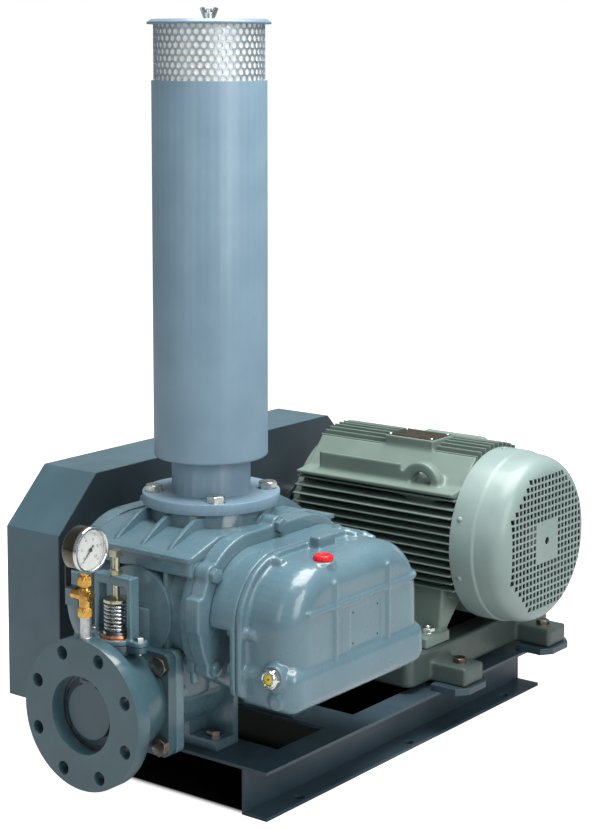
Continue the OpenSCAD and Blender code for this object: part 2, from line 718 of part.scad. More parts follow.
module cover_layer(y, in) slab(y - 0.01, y) case_outline(in);
module cover_shell() hull() {
  $fn = hull_fn;
  cover_layer(housing_y, 5);
  cover_layer(cover_y + 34, 5);
  cover_layer(cover_y + 22, 9);
  cover_layer(cover_y + 14.7, 16);
  cover_layer(cover_y + sump_proud, 27);
}
module sump_bulge() hull() {
  $fn = hull_fn;
  for (s = [-1, 1]) {
    translate([s * (half_pitch + case_r - 33), 0, -sump_low + 28]) rod_y(28, housing_y - 20, housing_y);
    translate([s * (half_pitch + case_r - 33), cover_y + 24, -sump_low + 24]) sphere(r = 24);
    translate([s * (half_pitch + case_r - 21), cover_y + 24, -sump_top - 16]) sphere(r = 16);
  }
}
module gear_cover() color("#66747f") at_blower() difference() {
  union() {
    slab(housing_y - cover_flange_t, housing_y) {
      case_outline();
      lugs(case_lugs, case_lug_r);
    }
    cover_shell();
    sump_bulge();
    translate([0, cover_y + sump_proud, 18]) rod_x(4, -100, 143);
    for (x = [-32, 94]) translate([x, cover_y + sump_proud, 0]) rod_z(4, -sump_top, 54);
    box([20, 56], [housing_y - 18, housing_y], [80, 94]);
    translate([filler[0], housing_y + filler[1], 0]) rod_z(filler_r + 8, 60, case_r - 4);
  }
  slab(cover_y + sump_proud + 14, housing_y + eps) {
    for (s = [-1, 1]) translate([s * half_pitch, 0]) circle(cavity_r);
    translate([-half_pitch - cavity_r + 12, -case_low + 14]) square([shaft_pitch + 2 * cavity_r - 24, case_low - 14]);
  }
  translate([filler[0], housing_y + filler[1], 0]) rod_z(filler_r + fit, 50, case_r + eps);
  translate([0, housing_y + sight[1], sight[2]]) rod_x(sight_r + fit, -half_pitch - case_r - 6, -half_pitch - case_r + 30);
  translate([0, housing_y + sight[1] - 4, drain_z]) rod_x(7 + fit, -half_pitch - case_r - 6, -half_pitch - case_r + 26);
  for (p = case_lugs) translate([p[0], 0, p[1]])
    rod_y(M8[0] + bolt_gap, housing_y - cover_flange_t + 1, housing_y + eps);
}

module rear_bearing_cover() color("#66747f") at_blower() difference() {
  union() {
    slab(rear_y, rear_y + rear_cover_t) stadium(boss_r + 8);
    slab(rear_y, rear_y + rear_depth) for (s = [-1, 1]) translate([s * half_pitch, 0]) circle(boss_r);
  }
  both_shafts() rod_y(bearing_od / 2 + fit, rear_y - eps, rear_y + 4 + bearing_w);
  translate([-half_pitch, 0, 0]) rod_y(shaft_r + 3, rear_y, rear_y + rear_depth - 8);
  translate([half_pitch, 0, 0]) rod_y(shaft_r + 1.5, rear_y, rear_y + rear_depth + eps);
}

module oil_filler_plug() color("#e2231a") at_blower() translate([filler[0], housing_y + filler[1], case_r - 4]) {
  rod_z(14, 0, 8);
  rod_z(filler_r, -14, 0);
}
module oil_sight_glass() color("#c9cccd") at_blower() translate([0, housing_y + sight[1], sight[2]]) {
  rod_x(sight_r, -half_pitch - case_r + 5 - 1, -half_pitch - case_r + 22);
  translate([-half_pitch - case_r + 4, 0, 0]) rotate([0, -90, 0]) cylinder(r = 13, h = 9, $fn = 6);
}
module drain_plug() color("#66747f") at_blower() translate([0, housing_y + sight[1] - 4, drain_z]) {
  rod_x(7, -half_pitch - case_r + 4, -half_pitch - case_r + 20);
  translate([-half_pitch - case_r + 5, 0, 0]) rotate([0, -90, 0]) cylinder(r = 8, h = 7, $fn = 6);
}

// Discharge fitting with check valve
module discharge_fitting() color("#5d6c79") at_port() difference() {
  union() {
    rod_x(discharge_d / 2, face_x, face_x + discharge_t);
    translate([port_x - square_t, 0, 0]) rotate([0, 90, 0]) linear_extrude(square_t)
      round_rect(square_flange, square_flange, 10);
    rod_x(60, face_x + discharge_t - eps, port_x - square_t + eps);
    intersection() {
      translate([face_x + 66, 0, 0]) sphere(r = 74);
      rod_x(80, face_x + discharge_t - eps, port_x - square_t + eps);
    }
    translate([relief_x, 0, 0]) {
      rod_z(23, 50, relief_z - port_z);
      translate([0, 0, relief_z - port_z - 8]) linear_extrude(8) relief_outline();
    }
  }
  rod_x(45, face_x, port_x + eps);
  rod_x(recess_d / 2, face_x - eps, seat_x + seat_t);
  rod_x(recess_d / 2 + 2, seat_x - 3, seat_x);
  translate([relief_x, 0, 0]) rod_z(14, 0, relief_z - port_z + eps);
  translate([gauge_x, 0, 0]) rod_z(nipple_r + fit, nipple_z - port_z - 12, discharge_d / 2 + eps);
  for (i = [0:7]) rotate([22.5 + i * 45, 0, 0]) translate([0, 0, discharge_pcd / 2])
    rod_x(discharge_hole_d / 2, face_x - eps, face_x + discharge_t + eps);
  for (p = port_bolts) translate([0, p[0], p[1]]) rod_x(M16[0] + bolt_gap, port_x - square_t - eps, port_x + eps);
  for (s = [-1, 1]) translate([relief_x, s * yoke_bolt_y, 0])
    rod_z(M8[0] + bolt_gap, relief_z - port_z - 20, relief_z - port_z + eps);
}
yoke_bolt_y = 42;
module relief_outline() {
  circle(30);
  for (s = [-1, 1]) translate([0, s * yoke_bolt_y]) circle(11);
  translate([-11, -yoke_bolt_y]) square([22, 2 * yoke_bolt_y]);
}
module discharge_bolts() color("#9c9a94") {
  for (p = port_bolts) translate([port_x - square_t, p[0], port_z + p[1]]) rotate([0, -90, 0]) bolt(M16, 2 * square_t - 1);
  for (s = [-1, 1]) translate([relief_x, s * yoke_bolt_y, relief_z + yoke_t]) bolt(M8, yoke_t + 12);
}

module check_seat() color("#77828b") at_port() difference() {
  union() {
    rod_x(recess_d / 2 - fit, seat_x, seat_x + seat_t);
    for (s = [-1, 1]) translate([0, s * 15.5, 0])
      box([pin_x - 3.5, seat_x + eps], [-3, 3], [pin_z - port_z - 5, pin_z - port_z + 4.2]);
  }
  rod_x(seat_bore, seat_x - eps, seat_x + seat_t + eps);
  translate([pin_x, 0, pin_z - port_z]) rod_y(pin_r + fit, -20, 20);
}
module seat_retaining_ring() color("#4a5158") at_port() difference() {
  rod_x(recess_d / 2 + 1.8, seat_x - 2.5, seat_x);
  rod_x(recess_d / 2 - 4, seat_x - 3, seat_x + eps);
  rotate([-135, 0, 0]) box([seat_x - 4, seat_x + eps], [-8, 8], [20, 70]);
}
module check_flap() color("#4f5b66") at_port() difference() {
  union() {
    rod_x(flap_d / 2, seat_x - flap_t - body_gap, seat_x - body_gap);
    box([seat_x - flap_t - body_gap, seat_x - body_gap], [-11.9, 11.9], [20, pin_z - port_z]);
    translate([pin_x, 0, pin_z - port_z]) rod_y(knuckle_r, -11.9, 11.9);
  }
  translate([pin_x, 0, pin_z - port_z]) rod_y(pin_r + running, -20, 20);
}
module check_hinge_pin() color("#b5b8ba") translate([pin_x, 0, pin_z]) rod_y(pin_r, -18.5, 18.5);

// Relief valve
module relief_yoke() color("#66747f") translate([relief_x, 0, relief_z]) difference() {
  union() {
    linear_extrude(yoke_t) relief_outline();
    for (s = [-1, 1]) box([-9, 9], [s > 0 ? 26 : -34, s > 0 ? 34 : -26], [0, yoke_h - 6]);
    box([-9, 9], [-34, 34], [yoke_h - 14, yoke_h]);
  }
  rod_z(22.2, -eps, yoke_t + eps);
  rod_z(5 + fit, yoke_h - 20, yoke_h + eps);
  for (s = [-1, 1]) translate([0, s * yoke_bolt_y, 0]) rod_z(M8[0] + bolt_gap, -eps, yoke_t + eps);
}
module relief_seat() color("#b87345") translate([relief_x, 0, relief_z]) difference() {
  union() {
    rod_z(22, 0, seat_top - relief_z - 3);
    translate([0, 0, seat_top - relief_z - 3]) cylinder(r1 = 22, r2 = 20, h = 3);
  }
  rod_z(14, -eps, seat_top - relief_z + eps);
}
module relief_disc() color("#9a9c9e") translate([relief_x, 0, seat_top + body_gap]) {
  rod_z(19, 0, disc_t);
  rod_z(spring_od / 2 - spring_wire - 1, disc_t - 0.01, disc_t + 6);
  rod_z(5, -18, 0.01);
}
spring_turns = 6.5;
spring_steps = 20;
spring_sides = 6;
module relief_spring() color("#c3c7c8") translate([relief_x, 0, spring_bottom]) {
  n = spring_turns * spring_steps;
  r = spring_od / 2 - spring_wire / 2;
  rise = spring_h - spring_wire;
  points = [for (i = [0:n], j = [0:spring_sides - 1])
    let(a = i * 360 / spring_steps, b = j * 360 / spring_sides, q = spring_wire / 2)
    [(r + q * cos(b)) * cos(a), (r + q * cos(b)) * sin(a), q + rise * i / n + q * sin(b)]];
  sides = [for (i = [0:n - 1], j = [0:spring_sides - 1]) let(k = (j + 1) % spring_sides)
    [i * spring_sides + j, i * spring_sides + k, (i + 1) * spring_sides + k, (i + 1) * spring_sides + j]];
  ends = [[for (j = [spring_sides - 1:-1:0]) j], [for (j = [0:spring_sides - 1]) n * spring_sides + j]];
  polyhedron(points, concat(sides, ends), convexity = 8);
}
module relief_adjusting_screw() color("#a8a68f") translate([relief_x, 0, 0]) {
  rod_z(spring_od / 2, spring_top, spring_top + 4);
  rod_z(5, spring_top + 4, relief_z + yoke_h + 26);
  translate([0, 0, relief_z + yoke_h]) cylinder(r = 9.2, h = 7, $fn = 6);
  translate([0, 0, relief_z + yoke_h + 25]) linear_extrude(9) square(13, center = true);
}

// Pressure gauge on its cock
module gauge_cock() color("#b08d3c") translate([gauge_x, 0, 0]) {
  rod_z(nipple_r, nipple_z, cock_z + 1);
  translate([0, 0, cock_z]) cylinder(r = 9.2, h = 17, $fn = 6);
  translate([0, 0, cock_axis_z]) sphere(r = 11);
  rod_z(9, cock_z + 10, cock_z + 40);
  translate([0, 0, cock_z + 38]) cylinder(r = 8.6, h = 12, $fn = 6);
  rod_z(4.5, cock_z + 48, gauge_z - gauge_d / 2 + 1);
  translate([0, 0, cock_axis_z]) rod_y(3, 8, 22);
}
module cock_lever() color("#26282a") translate([gauge_x, 0, cock_axis_z]) difference() {
  union() {
    rod_y(7, 14, 17);
    box([-5, 5], [14, 34], [7, 10]);
    box([-5, 5], [14, 17], [0, 10]);
    box([-5, 5], [31, 34], [7, 46]);
  }
  rod_y(3 + running, 13, 18);
}
module gauge_case() color("#4a4744") translate([gauge_x, 0, gauge_z]) difference() {
  union() {
    rod_y(gauge_d / 2, -gauge_depth / 2, gauge_depth / 2);
    rod_y(gauge_d / 2 + 1.5, -gauge_depth / 2, -gauge_depth / 2 + 6);
  }
  rod_y(gauge_d / 2 - 3, -gauge_depth / 2 - eps, gauge_depth / 2 - 8);
  rod_z(4.5 + fit, -gauge_d / 2 - 3, -gauge_d / 2 + 1.2);
}
module gauge_dial() color("#f2f2ee") translate([gauge_x, 0, gauge_z]) difference() {
  rod_y(gauge_d / 2 - 3 - fit, -gauge_depth / 2 + 6, gauge_depth / 2 - 8);
  rod_y(1.5 + fit, -gauge_depth, gauge_depth);
}
module gauge_needle() color("#1c1c1c") translate([gauge_x, 0, gauge_z]) {
  rod_y(1.5 - running, -gauge_depth / 2 + 3.5, 0);
  rod_y(3, -gauge_depth / 2 + 3.5, -gauge_depth / 2 + 5.5);
  slab(-gauge_depth / 2 + 4, -gauge_depth / 2 + 5.2) rotate(-50)
    polygon([[-10, -1.2], [22, -0.4], [22, 0.4], [-10, 1.2]]);
}
module gauge_glass() color("#dfe8ea", 0.4) translate([gauge_x, 0, gauge_z])
  rod_y(gauge_d / 2 - 3 - fit, -gauge_depth / 2 + 0.8, -gauge_depth / 2 + 2.8);

// Suction side
module suction_flange() color("#6f8092") translate([blower_x, 0, 0]) difference() {
  union() {
    rod_z(suction_flange_d / 2, suction_z, suction_z + suction_flange_t);
    rod_z(neck_d / 2, suction_z, neck_z + bottom_t);
  }
  rod_z(neck_d / 2 - neck_wall, suction_z - eps, neck_z + bottom_t + eps);
  for (a = [45:90:315]) rotate(a) translate([suction_pcd / 2, 0, 0])
    rod_z(M16[0] + bolt_gap, suction_z - eps, suction_z + suction_flange_t + eps);
}
module suction_bolts() color("#c3c7c2") translate([blower_x, 0, suction_z + suction_flange_t])
  for (a = [45:90:315]) rotate(a) translate([suction_pcd / 2, 0, 0]) bolt(M16, suction_flange_t + 24);

module silencer_shell() color("#7f93a8") translate([blower_x, 0, 0]) difference() {
  union() {
    rod_z(silencer_d / 2 - 4, neck_z, neck_z + 10);
    rod_z(silencer_d / 2, neck_z + 4, silencer_top);
    translate([0, 0, neck_z + 4]) rotate_extrude() translate([silencer_d / 2 - 4, 0]) circle(4);
  }
  rod_z(silencer_d / 2 - silencer_wall, neck_z + bottom_t, silencer_top + eps);
  rod_z(neck_d / 2 + fit, neck_z - eps, neck_z + bottom_t + eps);
}
screen_wall = 1.5;
module intake_screen() color("#b9b9b4") translate([blower_x, 0, 0])
  ring_z(silencer_d / 2 - silencer_wall - fit, silencer_d / 2 - silencer_wall - screen_wall, silencer_top - 20, screen_top);
module filter_element() color("#ecebe6") translate([blower_x, 0, 0])
  ring_z(silencer_d / 2 - silencer_wall - screen_wall - body_gap, 56, silencer_top - 18, screen_top);
module intake_cap() color("#8d9690") translate([blower_x, 0, 0]) difference() {
  union() {
    translate([0, 0, screen_top + 3]) cylinder(r1 = cap_d / 2, r2 = cap_d / 2 - 6, h = cap_t - 3);
    rod_z(cap_d / 2, screen_top, screen_top + 3);
  }
  rod_z(rod_r + bolt_gap, screen_top - eps, screen_top + cap_t + eps);
}
module tie_rod() color("#a7abab") translate([blower_x, 0, 0]) {
  rod_z(rod_r, silencer_top - 30, screen_top + cap_t + 15);
  intersection() {
    rod_z(silencer_d / 2 - silencer_wall - 5 * fit, silencer_top - 32, silencer_top - 28);
    box([-silencer_d, silencer_d], [-8, 8], [silencer_top - 33, silencer_top]);
  }
}
module wing_nut() color("#b9bcbb") translate([blower_x, 0, screen_top + cap_t + body_gap]) difference() {
  union() {
    rod_z(8, 0, 9);
    for (s = [-1, 1]) slab(-1.5, 1.5) polygon([[s * 5, 1], [s * 12, 3], [s * 19, 15], [s * 13, 17], [s * 5, 8]]);
  }
  rod_z(rod_r + running, -eps, 20);
}

base_beams();
base_cross_plates();
bed_support_plates();
guard_brackets();
motor_bed();
bed_bolts();
motor_frame();
motor_end_shields();
motor_stator();
fan_cover();
cooling_fan();
motor_rotor();
terminal_box();
foot_bolts();
motor_sheave();
blower_sheave();
v_belts();
guard_back_plate();
guard_cover();
blower_casing();
front_side_plate();
rear_side_plate();
casing_bolts();
drive_rotor();
driven_rotor();
ball_bearings();
shaft_seals();
drive_timing_gear();
driven_timing_gear();
bearing_housing();
gear_cover();
rear_bearing_cover();
oil_filler_plug();
oil_sight_glass();
drain_plug();
discharge_fitting();
discharge_bolts();
check_seat();
seat_retaining_ring();
check_flap();
check_hinge_pin();
relief_yoke();
relief_seat();
relief_disc();
relief_spring();
relief_adjusting_screw();
gauge_cock();
cock_lever();
gauge_case();
gauge_dial();
gauge_needle();
gauge_glass();
suction_flange();
suction_bolts();
silencer_shell();
intake_screen();
filter_element();
intake_cap();
tie_rod();
wing_nut();
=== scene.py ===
"""Dresses the air blower package: paints, platings, castings, perforated sheet, dial and lights."""
import math

import bmesh
import bpy
from mathutils import Matrix, Vector


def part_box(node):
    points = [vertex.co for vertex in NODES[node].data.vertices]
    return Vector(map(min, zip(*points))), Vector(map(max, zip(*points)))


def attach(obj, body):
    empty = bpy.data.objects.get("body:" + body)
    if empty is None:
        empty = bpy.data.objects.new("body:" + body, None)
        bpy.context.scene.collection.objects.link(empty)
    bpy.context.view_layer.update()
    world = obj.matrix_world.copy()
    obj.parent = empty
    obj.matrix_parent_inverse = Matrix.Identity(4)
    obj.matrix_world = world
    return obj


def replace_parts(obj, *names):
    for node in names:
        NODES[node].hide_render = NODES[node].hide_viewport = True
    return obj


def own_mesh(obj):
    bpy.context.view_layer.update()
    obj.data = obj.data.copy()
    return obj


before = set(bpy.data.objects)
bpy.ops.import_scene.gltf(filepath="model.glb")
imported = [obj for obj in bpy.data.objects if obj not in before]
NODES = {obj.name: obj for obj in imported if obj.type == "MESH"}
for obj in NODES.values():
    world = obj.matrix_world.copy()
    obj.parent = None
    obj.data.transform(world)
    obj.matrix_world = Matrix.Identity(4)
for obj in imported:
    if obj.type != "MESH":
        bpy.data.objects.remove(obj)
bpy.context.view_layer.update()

MM = 0.001
STATIC = "blower_package"

# Vertices closer than this are one, where a CAD node's loose triangles are joined
WELD = 0.01 * MM


# Small tools for meshes

def mesh_object(name, bm):
    """A new object at the origin from a bmesh, its faces pointing outwards."""
    bmesh.ops.recalc_face_normals(bm, faces=bm.faces)
    mesh = bpy.data.meshes.new(name)
    bm.to_mesh(mesh)
    bm.free()
    obj = bpy.data.objects.new(name, mesh)
    bpy.context.scene.collection.objects.link(obj)
    return obj


def shade_by_angle(obj, degrees=35):
    """Smooth faces, with a sharp edge wherever two faces meet at more than the angle."""
    bm = bmesh.new()
    bm.from_mesh(obj.data)
    for face in bm.faces:
        face.smooth = True
    for edge in bm.edges:
        folded = len(edge.link_faces) == 2 and edge.calc_face_angle(0) > math.radians(degrees)
        edge.smooth = not folded
    bm.to_mesh(obj.data)
    bm.free()
    return obj


def place(obj, body, material):
    """Gives a finished piece its material and the body that it rides on."""
    obj.data.materials.clear()
    obj.data.materials.append(material)
    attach(obj, body)
    return obj


def islands(node):
    """Lowest and highest corner of each separate solid in a CAD node."""
    bm = bmesh.new()
    bm.from_mesh(NODES[node].data)
    bmesh.ops.remove_doubles(bm, verts=bm.verts, dist=WELD)
    left = set(bm.verts)
    found = []
    while left:
        seed = left.pop()
        group, front = [seed], [seed]
        while front:
            vert = front.pop()
            for edge in vert.link_edges:
                other = edge.other_vert(vert)
                if other in left:
                    left.remove(other)
                    group.append(other)
                    front.append(other)
        lo = Vector([min(v.co[i] for v in group) for i in range(3)])
        hi = Vector([max(v.co[i] for v in group) for i in range(3)])
        found.append((lo, hi))
    bm.free()
    return sorted(found, key=lambda pair: tuple(round(c, 5) for c in pair[0]))


# Node trees

def add(tree, kind, values=None, links=None):
    """Adds a node with its settings, by attribute or by socket, and links its inputs."""
    made = tree.nodes.new(kind)
    for key, value in (values or {}).items():
        if isinstance(key, str) and hasattr(made, key):
            setattr(made, key, value)
    for key, value in (values or {}).items():
        if isinstance(key, int) or not hasattr(made, key):
            made.inputs[key].default_value = value
    for key, source in (links or {}).items():
        tree.links.new(source, made.inputs[key])
    return made


def linear(hex_code):
    """An sRGB hex value as linear RGBA."""
    parts = [int(hex_code[i:i + 2], 16) / 255 for i in (1, 3, 5)]
    return [c / 12.92 if c <= 0.04045 else ((c + 0.055) / 1.055) ** 2.4 for c in parts] + [1.0]


def per_mm(size_mm):
    """The scale of a pattern whose features are this many millimetres across."""
    return 1000 / size_mm


def new_material():
    """An empty material, its tree, its object coordinates and its surface output."""
    made = bpy.data.materials.new("finish")
    made.use_nodes = True
    tree = made.node_tree
    tree.nodes.clear()
    coords = add(tree, "ShaderNodeTexCoord").outputs["Object"]
    output = add(tree, "ShaderNodeOutputMaterial")
    return made, tree, coords, output


def blotches(tree, coords, size_mm, first, second):
    """A colour that drifts between two hex values over patches of the given size."""
    noise = add(tree, "ShaderNodeTexNoise", {"Scale": per_mm(size_mm), "Detail": 3.0}, {"Vector": coords})
    spread = add(tree, "ShaderNodeMapRange", {"From Min": 0.35, "From Max": 0.65},
                 {"Value": noise.outputs["Fac"]})
    return add(tree, "ShaderNodeMix", {"data_type": "RGBA", 6: linear(first), 7: linear(second)},
               {0: spread.outputs["Result"]}).outputs[2]


def varied(tree, coords, size_mm, low, high):
    """A number that drifts between two values over patches of the given size."""
    noise = add(tree, "ShaderNodeTexNoise", {"Scale": per_mm(size_mm), "Detail": 2.0}, {"Vector": coords})
    return add(tree, "ShaderNodeMapRange", {"From Min": 0.3, "From Max": 0.7, "To Min": low, "To Max": high},
               {"Value": noise.outputs["Fac"]}).outputs["Result"]


def relief(tree, coords, size_mm, depth_mm, below=None, detail=2.0):
    """A bumpy surface normal with features of the given size and depth, over another one."""
    noise = add(tree, "ShaderNodeTexNoise", {"Scale": per_mm(size_mm), "Detail": detail}, {"Vector": coords})
    bump = add(tree, "ShaderNodeBump", {"Strength": 1.0, "Distance": depth_mm * MM},
               {"Height": noise.outputs["Fac"]})
    if below is not None:
        tree.links.new(below, bump.inputs["Normal"])
    return bump.outputs["Normal"]


def surface(tree, output, values, links):
    """The Principled shader of a material, joined to its output."""
    shader = add(tree, "ShaderNodeBsdfPrincipled", values, links)
    tree.links.new(shader.outputs["BSDF"], output.inputs["Surface"])
    return shader


# Paints

# Peel, sand, scratch and bump are each a width and a depth in millimetres

def painted(paint, shade, rough, coat, peel, sand=None, edge_mm=0.8):
    """Paint: two close tones, orange peel and, on a casting, the lumps of the sand mould under it."""
    made, tree, coords, output = new_material()
    normal = add(tree, "ShaderNodeBevel", {"samples": 4, "Radius": edge_mm * MM}).outputs["Normal"]
    if sand:
        normal = relief(tree, coords, *sand, normal, 4.0)
    normal = relief(tree, coords, *peel, normal)
    surface(tree, output,
            {"Specular IOR Level": 0.5, "Coat Weight": coat, "Coat Roughness": 0.08, "IOR": 1.5},
            {"Base Color": blotches(tree, coords, 70, paint, shade),
             "Roughness": varied(tree, coords, 25, rough - 0.05, rough + 0.05),
             "Normal": normal})
    return made


def gloss_enamel_on_cast_iron():
    """Brushed gloss enamel on sand-cast iron: wet-looking, with lumps that break up each highlight."""
    return painted("#5c7883", "#54707b", rough=0.29, coat=0.45, peel=(3.0, 0.05), sand=(9.0, 0.22),
                   edge_mm=2.0)


def gloss_enamel_on_pipe():
    """Sprayed enamel on drawn pipe: smooth, with broad upright reflections."""
    return painted("#7892a2", "#718b9c", rough=0.42, coat=0.08, peel=(2.5, 0.010), edge_mm=1.0)


def gloss_enamel_on_machined_flange():
    """The same enamel on a turned flange: smoother than the rough casting behind it, and darker, as painted
    shade on the flange's shaded face.
    """
    return painted("#3f5a62", "#39545c", rough=0.33, coat=0.3, peel=(2.5, 0.02), sand=(14.0, 0.05),
                   edge_mm=1.2)


def enamel_on_sheet_guard():
    """Semi-gloss enamel on folded sheet: flat and even, a little darker than the blower."""
    return painted("#48626c", "#425b65", rough=0.38, coat=0.15, peel=(2.5, 0.008), edge_mm=1.5)


def enamel_on_guard_back():
    """Semi-gloss enamel on the guard's flat back plate, painted darker than the guard as painted shade,
    since the plate faces away from the window light.
    """
    return painted("#303e45", "#2b3940", rough=0.42, coat=0.1, peel=(2.5, 0.008), edge_mm=1.0)


def enamel_on_rolled_channel():
    """Semi-gloss dark enamel on rolled steel channel."""
    return painted("#33454f", "#2d3f49", rough=0.42, coat=0.12, peel=(2.5, 0.015), sand=(20.0, 0.06),
                   edge_mm=1.0)


def enamel_on_cast_bed():
    """Grey enamel over the coarse skin of the cast motor bed."""
    return painted("#465450", "#404d49", rough=0.46, coat=0.1, peel=(3.0, 0.04), sand=(6.0, 0.30),
                   edge_mm=2.0)


def satin_enamel_on_motor():
    """Satin grey-green enamel on the finned motor frame."""
    return painted("#6f8078", "#687971", rough=0.45, coat=0.1, peel=(2.5, 0.015), sand=(7.0, 0.08))


def satin_enamel_on_pressed_cover():
    """Paler satin enamel on the pressed fan cover: soft wide highlights, hardly any texture."""
    return painted("#889a96", "#81938f", rough=0.38, coat=0.12, peel=(2.0, 0.006))


def satin_enamel_on_terminal_box():
    """Satin grey-green enamel on the cast terminal box."""
    return painted("#72857d", "#6a7d75", rough=0.5, coat=0.05, peel=(2.5, 0.01), sand=(8.0, 0.05),
                   edge_mm=1.0)


def satin_enamel_on_cap():
    """Grey satin enamel on the spun intake cap."""
    return painted("#6d8594", "#667e8d", rough=0.4, coat=0.1, peel=(2.5, 0.01))


def dark_paint_on_flap():
    """Dark semi-matt paint on the check flap and its seat."""
    return painted("#485d66", "#41565f", rough=0.42, coat=0.1, peel=(2.5, 0.02), sand=(8.0, 0.06),
                   edge_mm=1.0)


# Metals

def metal(bright, dull, rough, patch_mm=12.0, edge_mm=0.3, scratch=(0.8, 0.01)):
    """Bare or plated metal: tone and gloss drift in small patches, and fine marks break up reflections."""
    made, tree, coords, output = new_material()
    normal = add(tree, "ShaderNodeBevel", {"samples": 4, "Radius": edge_mm * MM}).outputs["Normal"]
    normal = relief(tree, coords, *scratch, normal)
    surface(tree, output, {"Metallic": 1.0},
            {"Base Color": blotches(tree, coords, patch_mm, bright, dull),
             "Roughness": varied(tree, coords, patch_mm / 2, *rough),
             "Normal": normal})
    return made


def zinc_plated_steel():
    """Bright zinc plating on bolts: bluish white with soft reflections."""
    return metal("#d9dcd8", "#b9bfbc", rough=(0.22, 0.36))


def yellow_zinc_plated_steel():
    """Yellow-passivated zinc on the relief valve's screw."""
    return metal("#cfcbae", "#b3b096", rough=(0.22, 0.36))


def blackened_steel():
    """Oiled dark steel of the large flange bolts: brown-grey with bright corners."""
    return metal("#968d80", "#6c655b", rough=(0.26, 0.4))


def bright_spring_wire():
    """Drawn and plated spring wire: almost a mirror."""
    return metal("#d6dadb", "#bcc2c4", rough=(0.12, 0.22), patch_mm=6.0)


def chrome_plate():
    """Chrome plate on the bezel and the sight glass body."""
    return metal("#dcdddd", "#cfd1d1", rough=(0.05, 0.12), patch_mm=20.0, scratch=(2.0, 0.002))


def black_chrome_plate():
    """Dark bronze-black chrome on the gauge's case: a mirror that reflects dark."""
    return metal("#6b6558", "#565146", rough=(0.06, 0.14), patch_mm=20.0, edge_mm=0.4, scratch=(2.0, 0.002))


def dark_bronze_plate():
    """Bare etched bronze of the nameplate, its text left off: dull brown with a soft sheen."""
    return metal("#6a6152", "#565042", rough=(0.35, 0.5), patch_mm=10.0)


def bare_brass():
    """Machined brass of the gauge cock: warm, with tool marks."""
    return metal("#e0b565", "#c4954a", rough=(0.18, 0.32), patch_mm=8.0)


def bare_bronze():
    """Bronze valve seat: copper-coloured and turned."""
    return metal("#dc9c78", "#b9744f", rough=(0.24, 0.38), patch_mm=8.0)


def ground_steel():
    """Ground shafts, rotors and bearing rings."""
    return metal("#c2c4c6", "#a4a7aa", rough=(0.22, 0.36))


def dark_steel():
    """Blued or phosphated steel of gears and rings."""
    return metal("#8b9196", "#6d7378", rough=(0.32, 0.46))


def cast_iron_sheave():
    """Turned grey iron of the sheaves."""
    return metal("#868b90", "#6a6f74", rough=(0.38, 0.52))


def galvanised_sheet():
    """Perforated galvanised sheet round the intake: blue-white with faint spangle."""
    return metal("#c3ced6", "#a9b6c0", rough=(0.42, 0.58), patch_mm=5.0)


def silver_paint_on_nipple():
    """Aluminium paint brushed on the gauge nipple."""
    return metal("#d5d7d6", "#bcbfbe", rough=(0.38, 0.5), patch_mm=5.0)


def varnished_winding():
    """Laminations and varnished copper of the stator."""
    return metal("#9a6a44", "#7c5233", rough=(0.35, 0.5))


# Everything else

def plain(first, second, rough, bump=(1.5, 0.01), values=None):
    """Plastic, rubber or fleece: two close tones and a fine surface."""
    made, tree, coords, output = new_material()
    surface(tree, output, values or {},
            {"Base Color": blotches(tree, coords, 15, first, second),
             "Roughness": varied(tree, coords, 10, *rough),
             "Normal": relief(tree, coords, *bump)})
    return made


def red_polyethylene():
    """Moulded red plastic cap on the oil filler: bright and waxy."""
    return plain("#e8202a", "#db1822", rough=(0.3, 0.4), bump=(2.0, 0.02),
                 values={"Subsurface Weight": 0.1, "Subsurface Scale": 0.002})


def oil_behind_glass():
    """Yellow-green oil seen through the sight glass: glossy and deep."""
    return plain("#c9cf3e", "#a8b32e", rough=(0.05, 0.1), bump=(3.0, 0.001), values={"Coat Weight": 0.8})


def black_vinyl():
    """Dipped vinyl grip of the cock lever."""
    return plain("#1c1d1f", "#26282a", rough=(0.35, 0.45))


def belt_rubber():
    """Fabric-faced rubber of the V-belts."""
    return plain("#1f2022", "#2b2d2f", rough=(0.65, 0.8), bump=(1.2, 0.05))


def seal_rubber():
    """Nitrile rubber of the shaft seals."""
    return plain("#191a1b", "#232526", rough=(0.5, 0.6))


def fan_plastic():
    """Moulded polypropylene of the cooling fan behind the grille."""
    return plain("#3d3f3b", "#33352f", rough=(0.5, 0.62))


def white_fleece():
    """White filter fleece behind the perforated sheet: fluffy and quite matt."""
    return plain("#fbfbf7", "#f0f0ea", rough=(0.85, 0.95), bump=(1.5, 0.3), values={"Sheen Weight": 0.3})


def dial_enamel():
    """White printed dial under the glass."""
    return plain("#f7f7f3", "#efefea", rough=(0.4, 0.5))


def dial_ink():
    """Black ink of the dial's marks and the needle's paint."""
    return plain("#17181a", "#202123", rough=(0.4, 0.5))


def gauge_window_glass():
    """Clear flat glass of the gauge."""
    made, tree, coords, output = new_material()
    surface(tree, output, {"Transmission Weight": 1.0, "IOR": 1.45, "Alpha": 0.25},
            {"Base Color": blotches(tree, coords, 30, "#ffffff", "#f4f8f8"),
             "Roughness": varied(tree, coords, 20, 0.0, 0.03)})
    return made


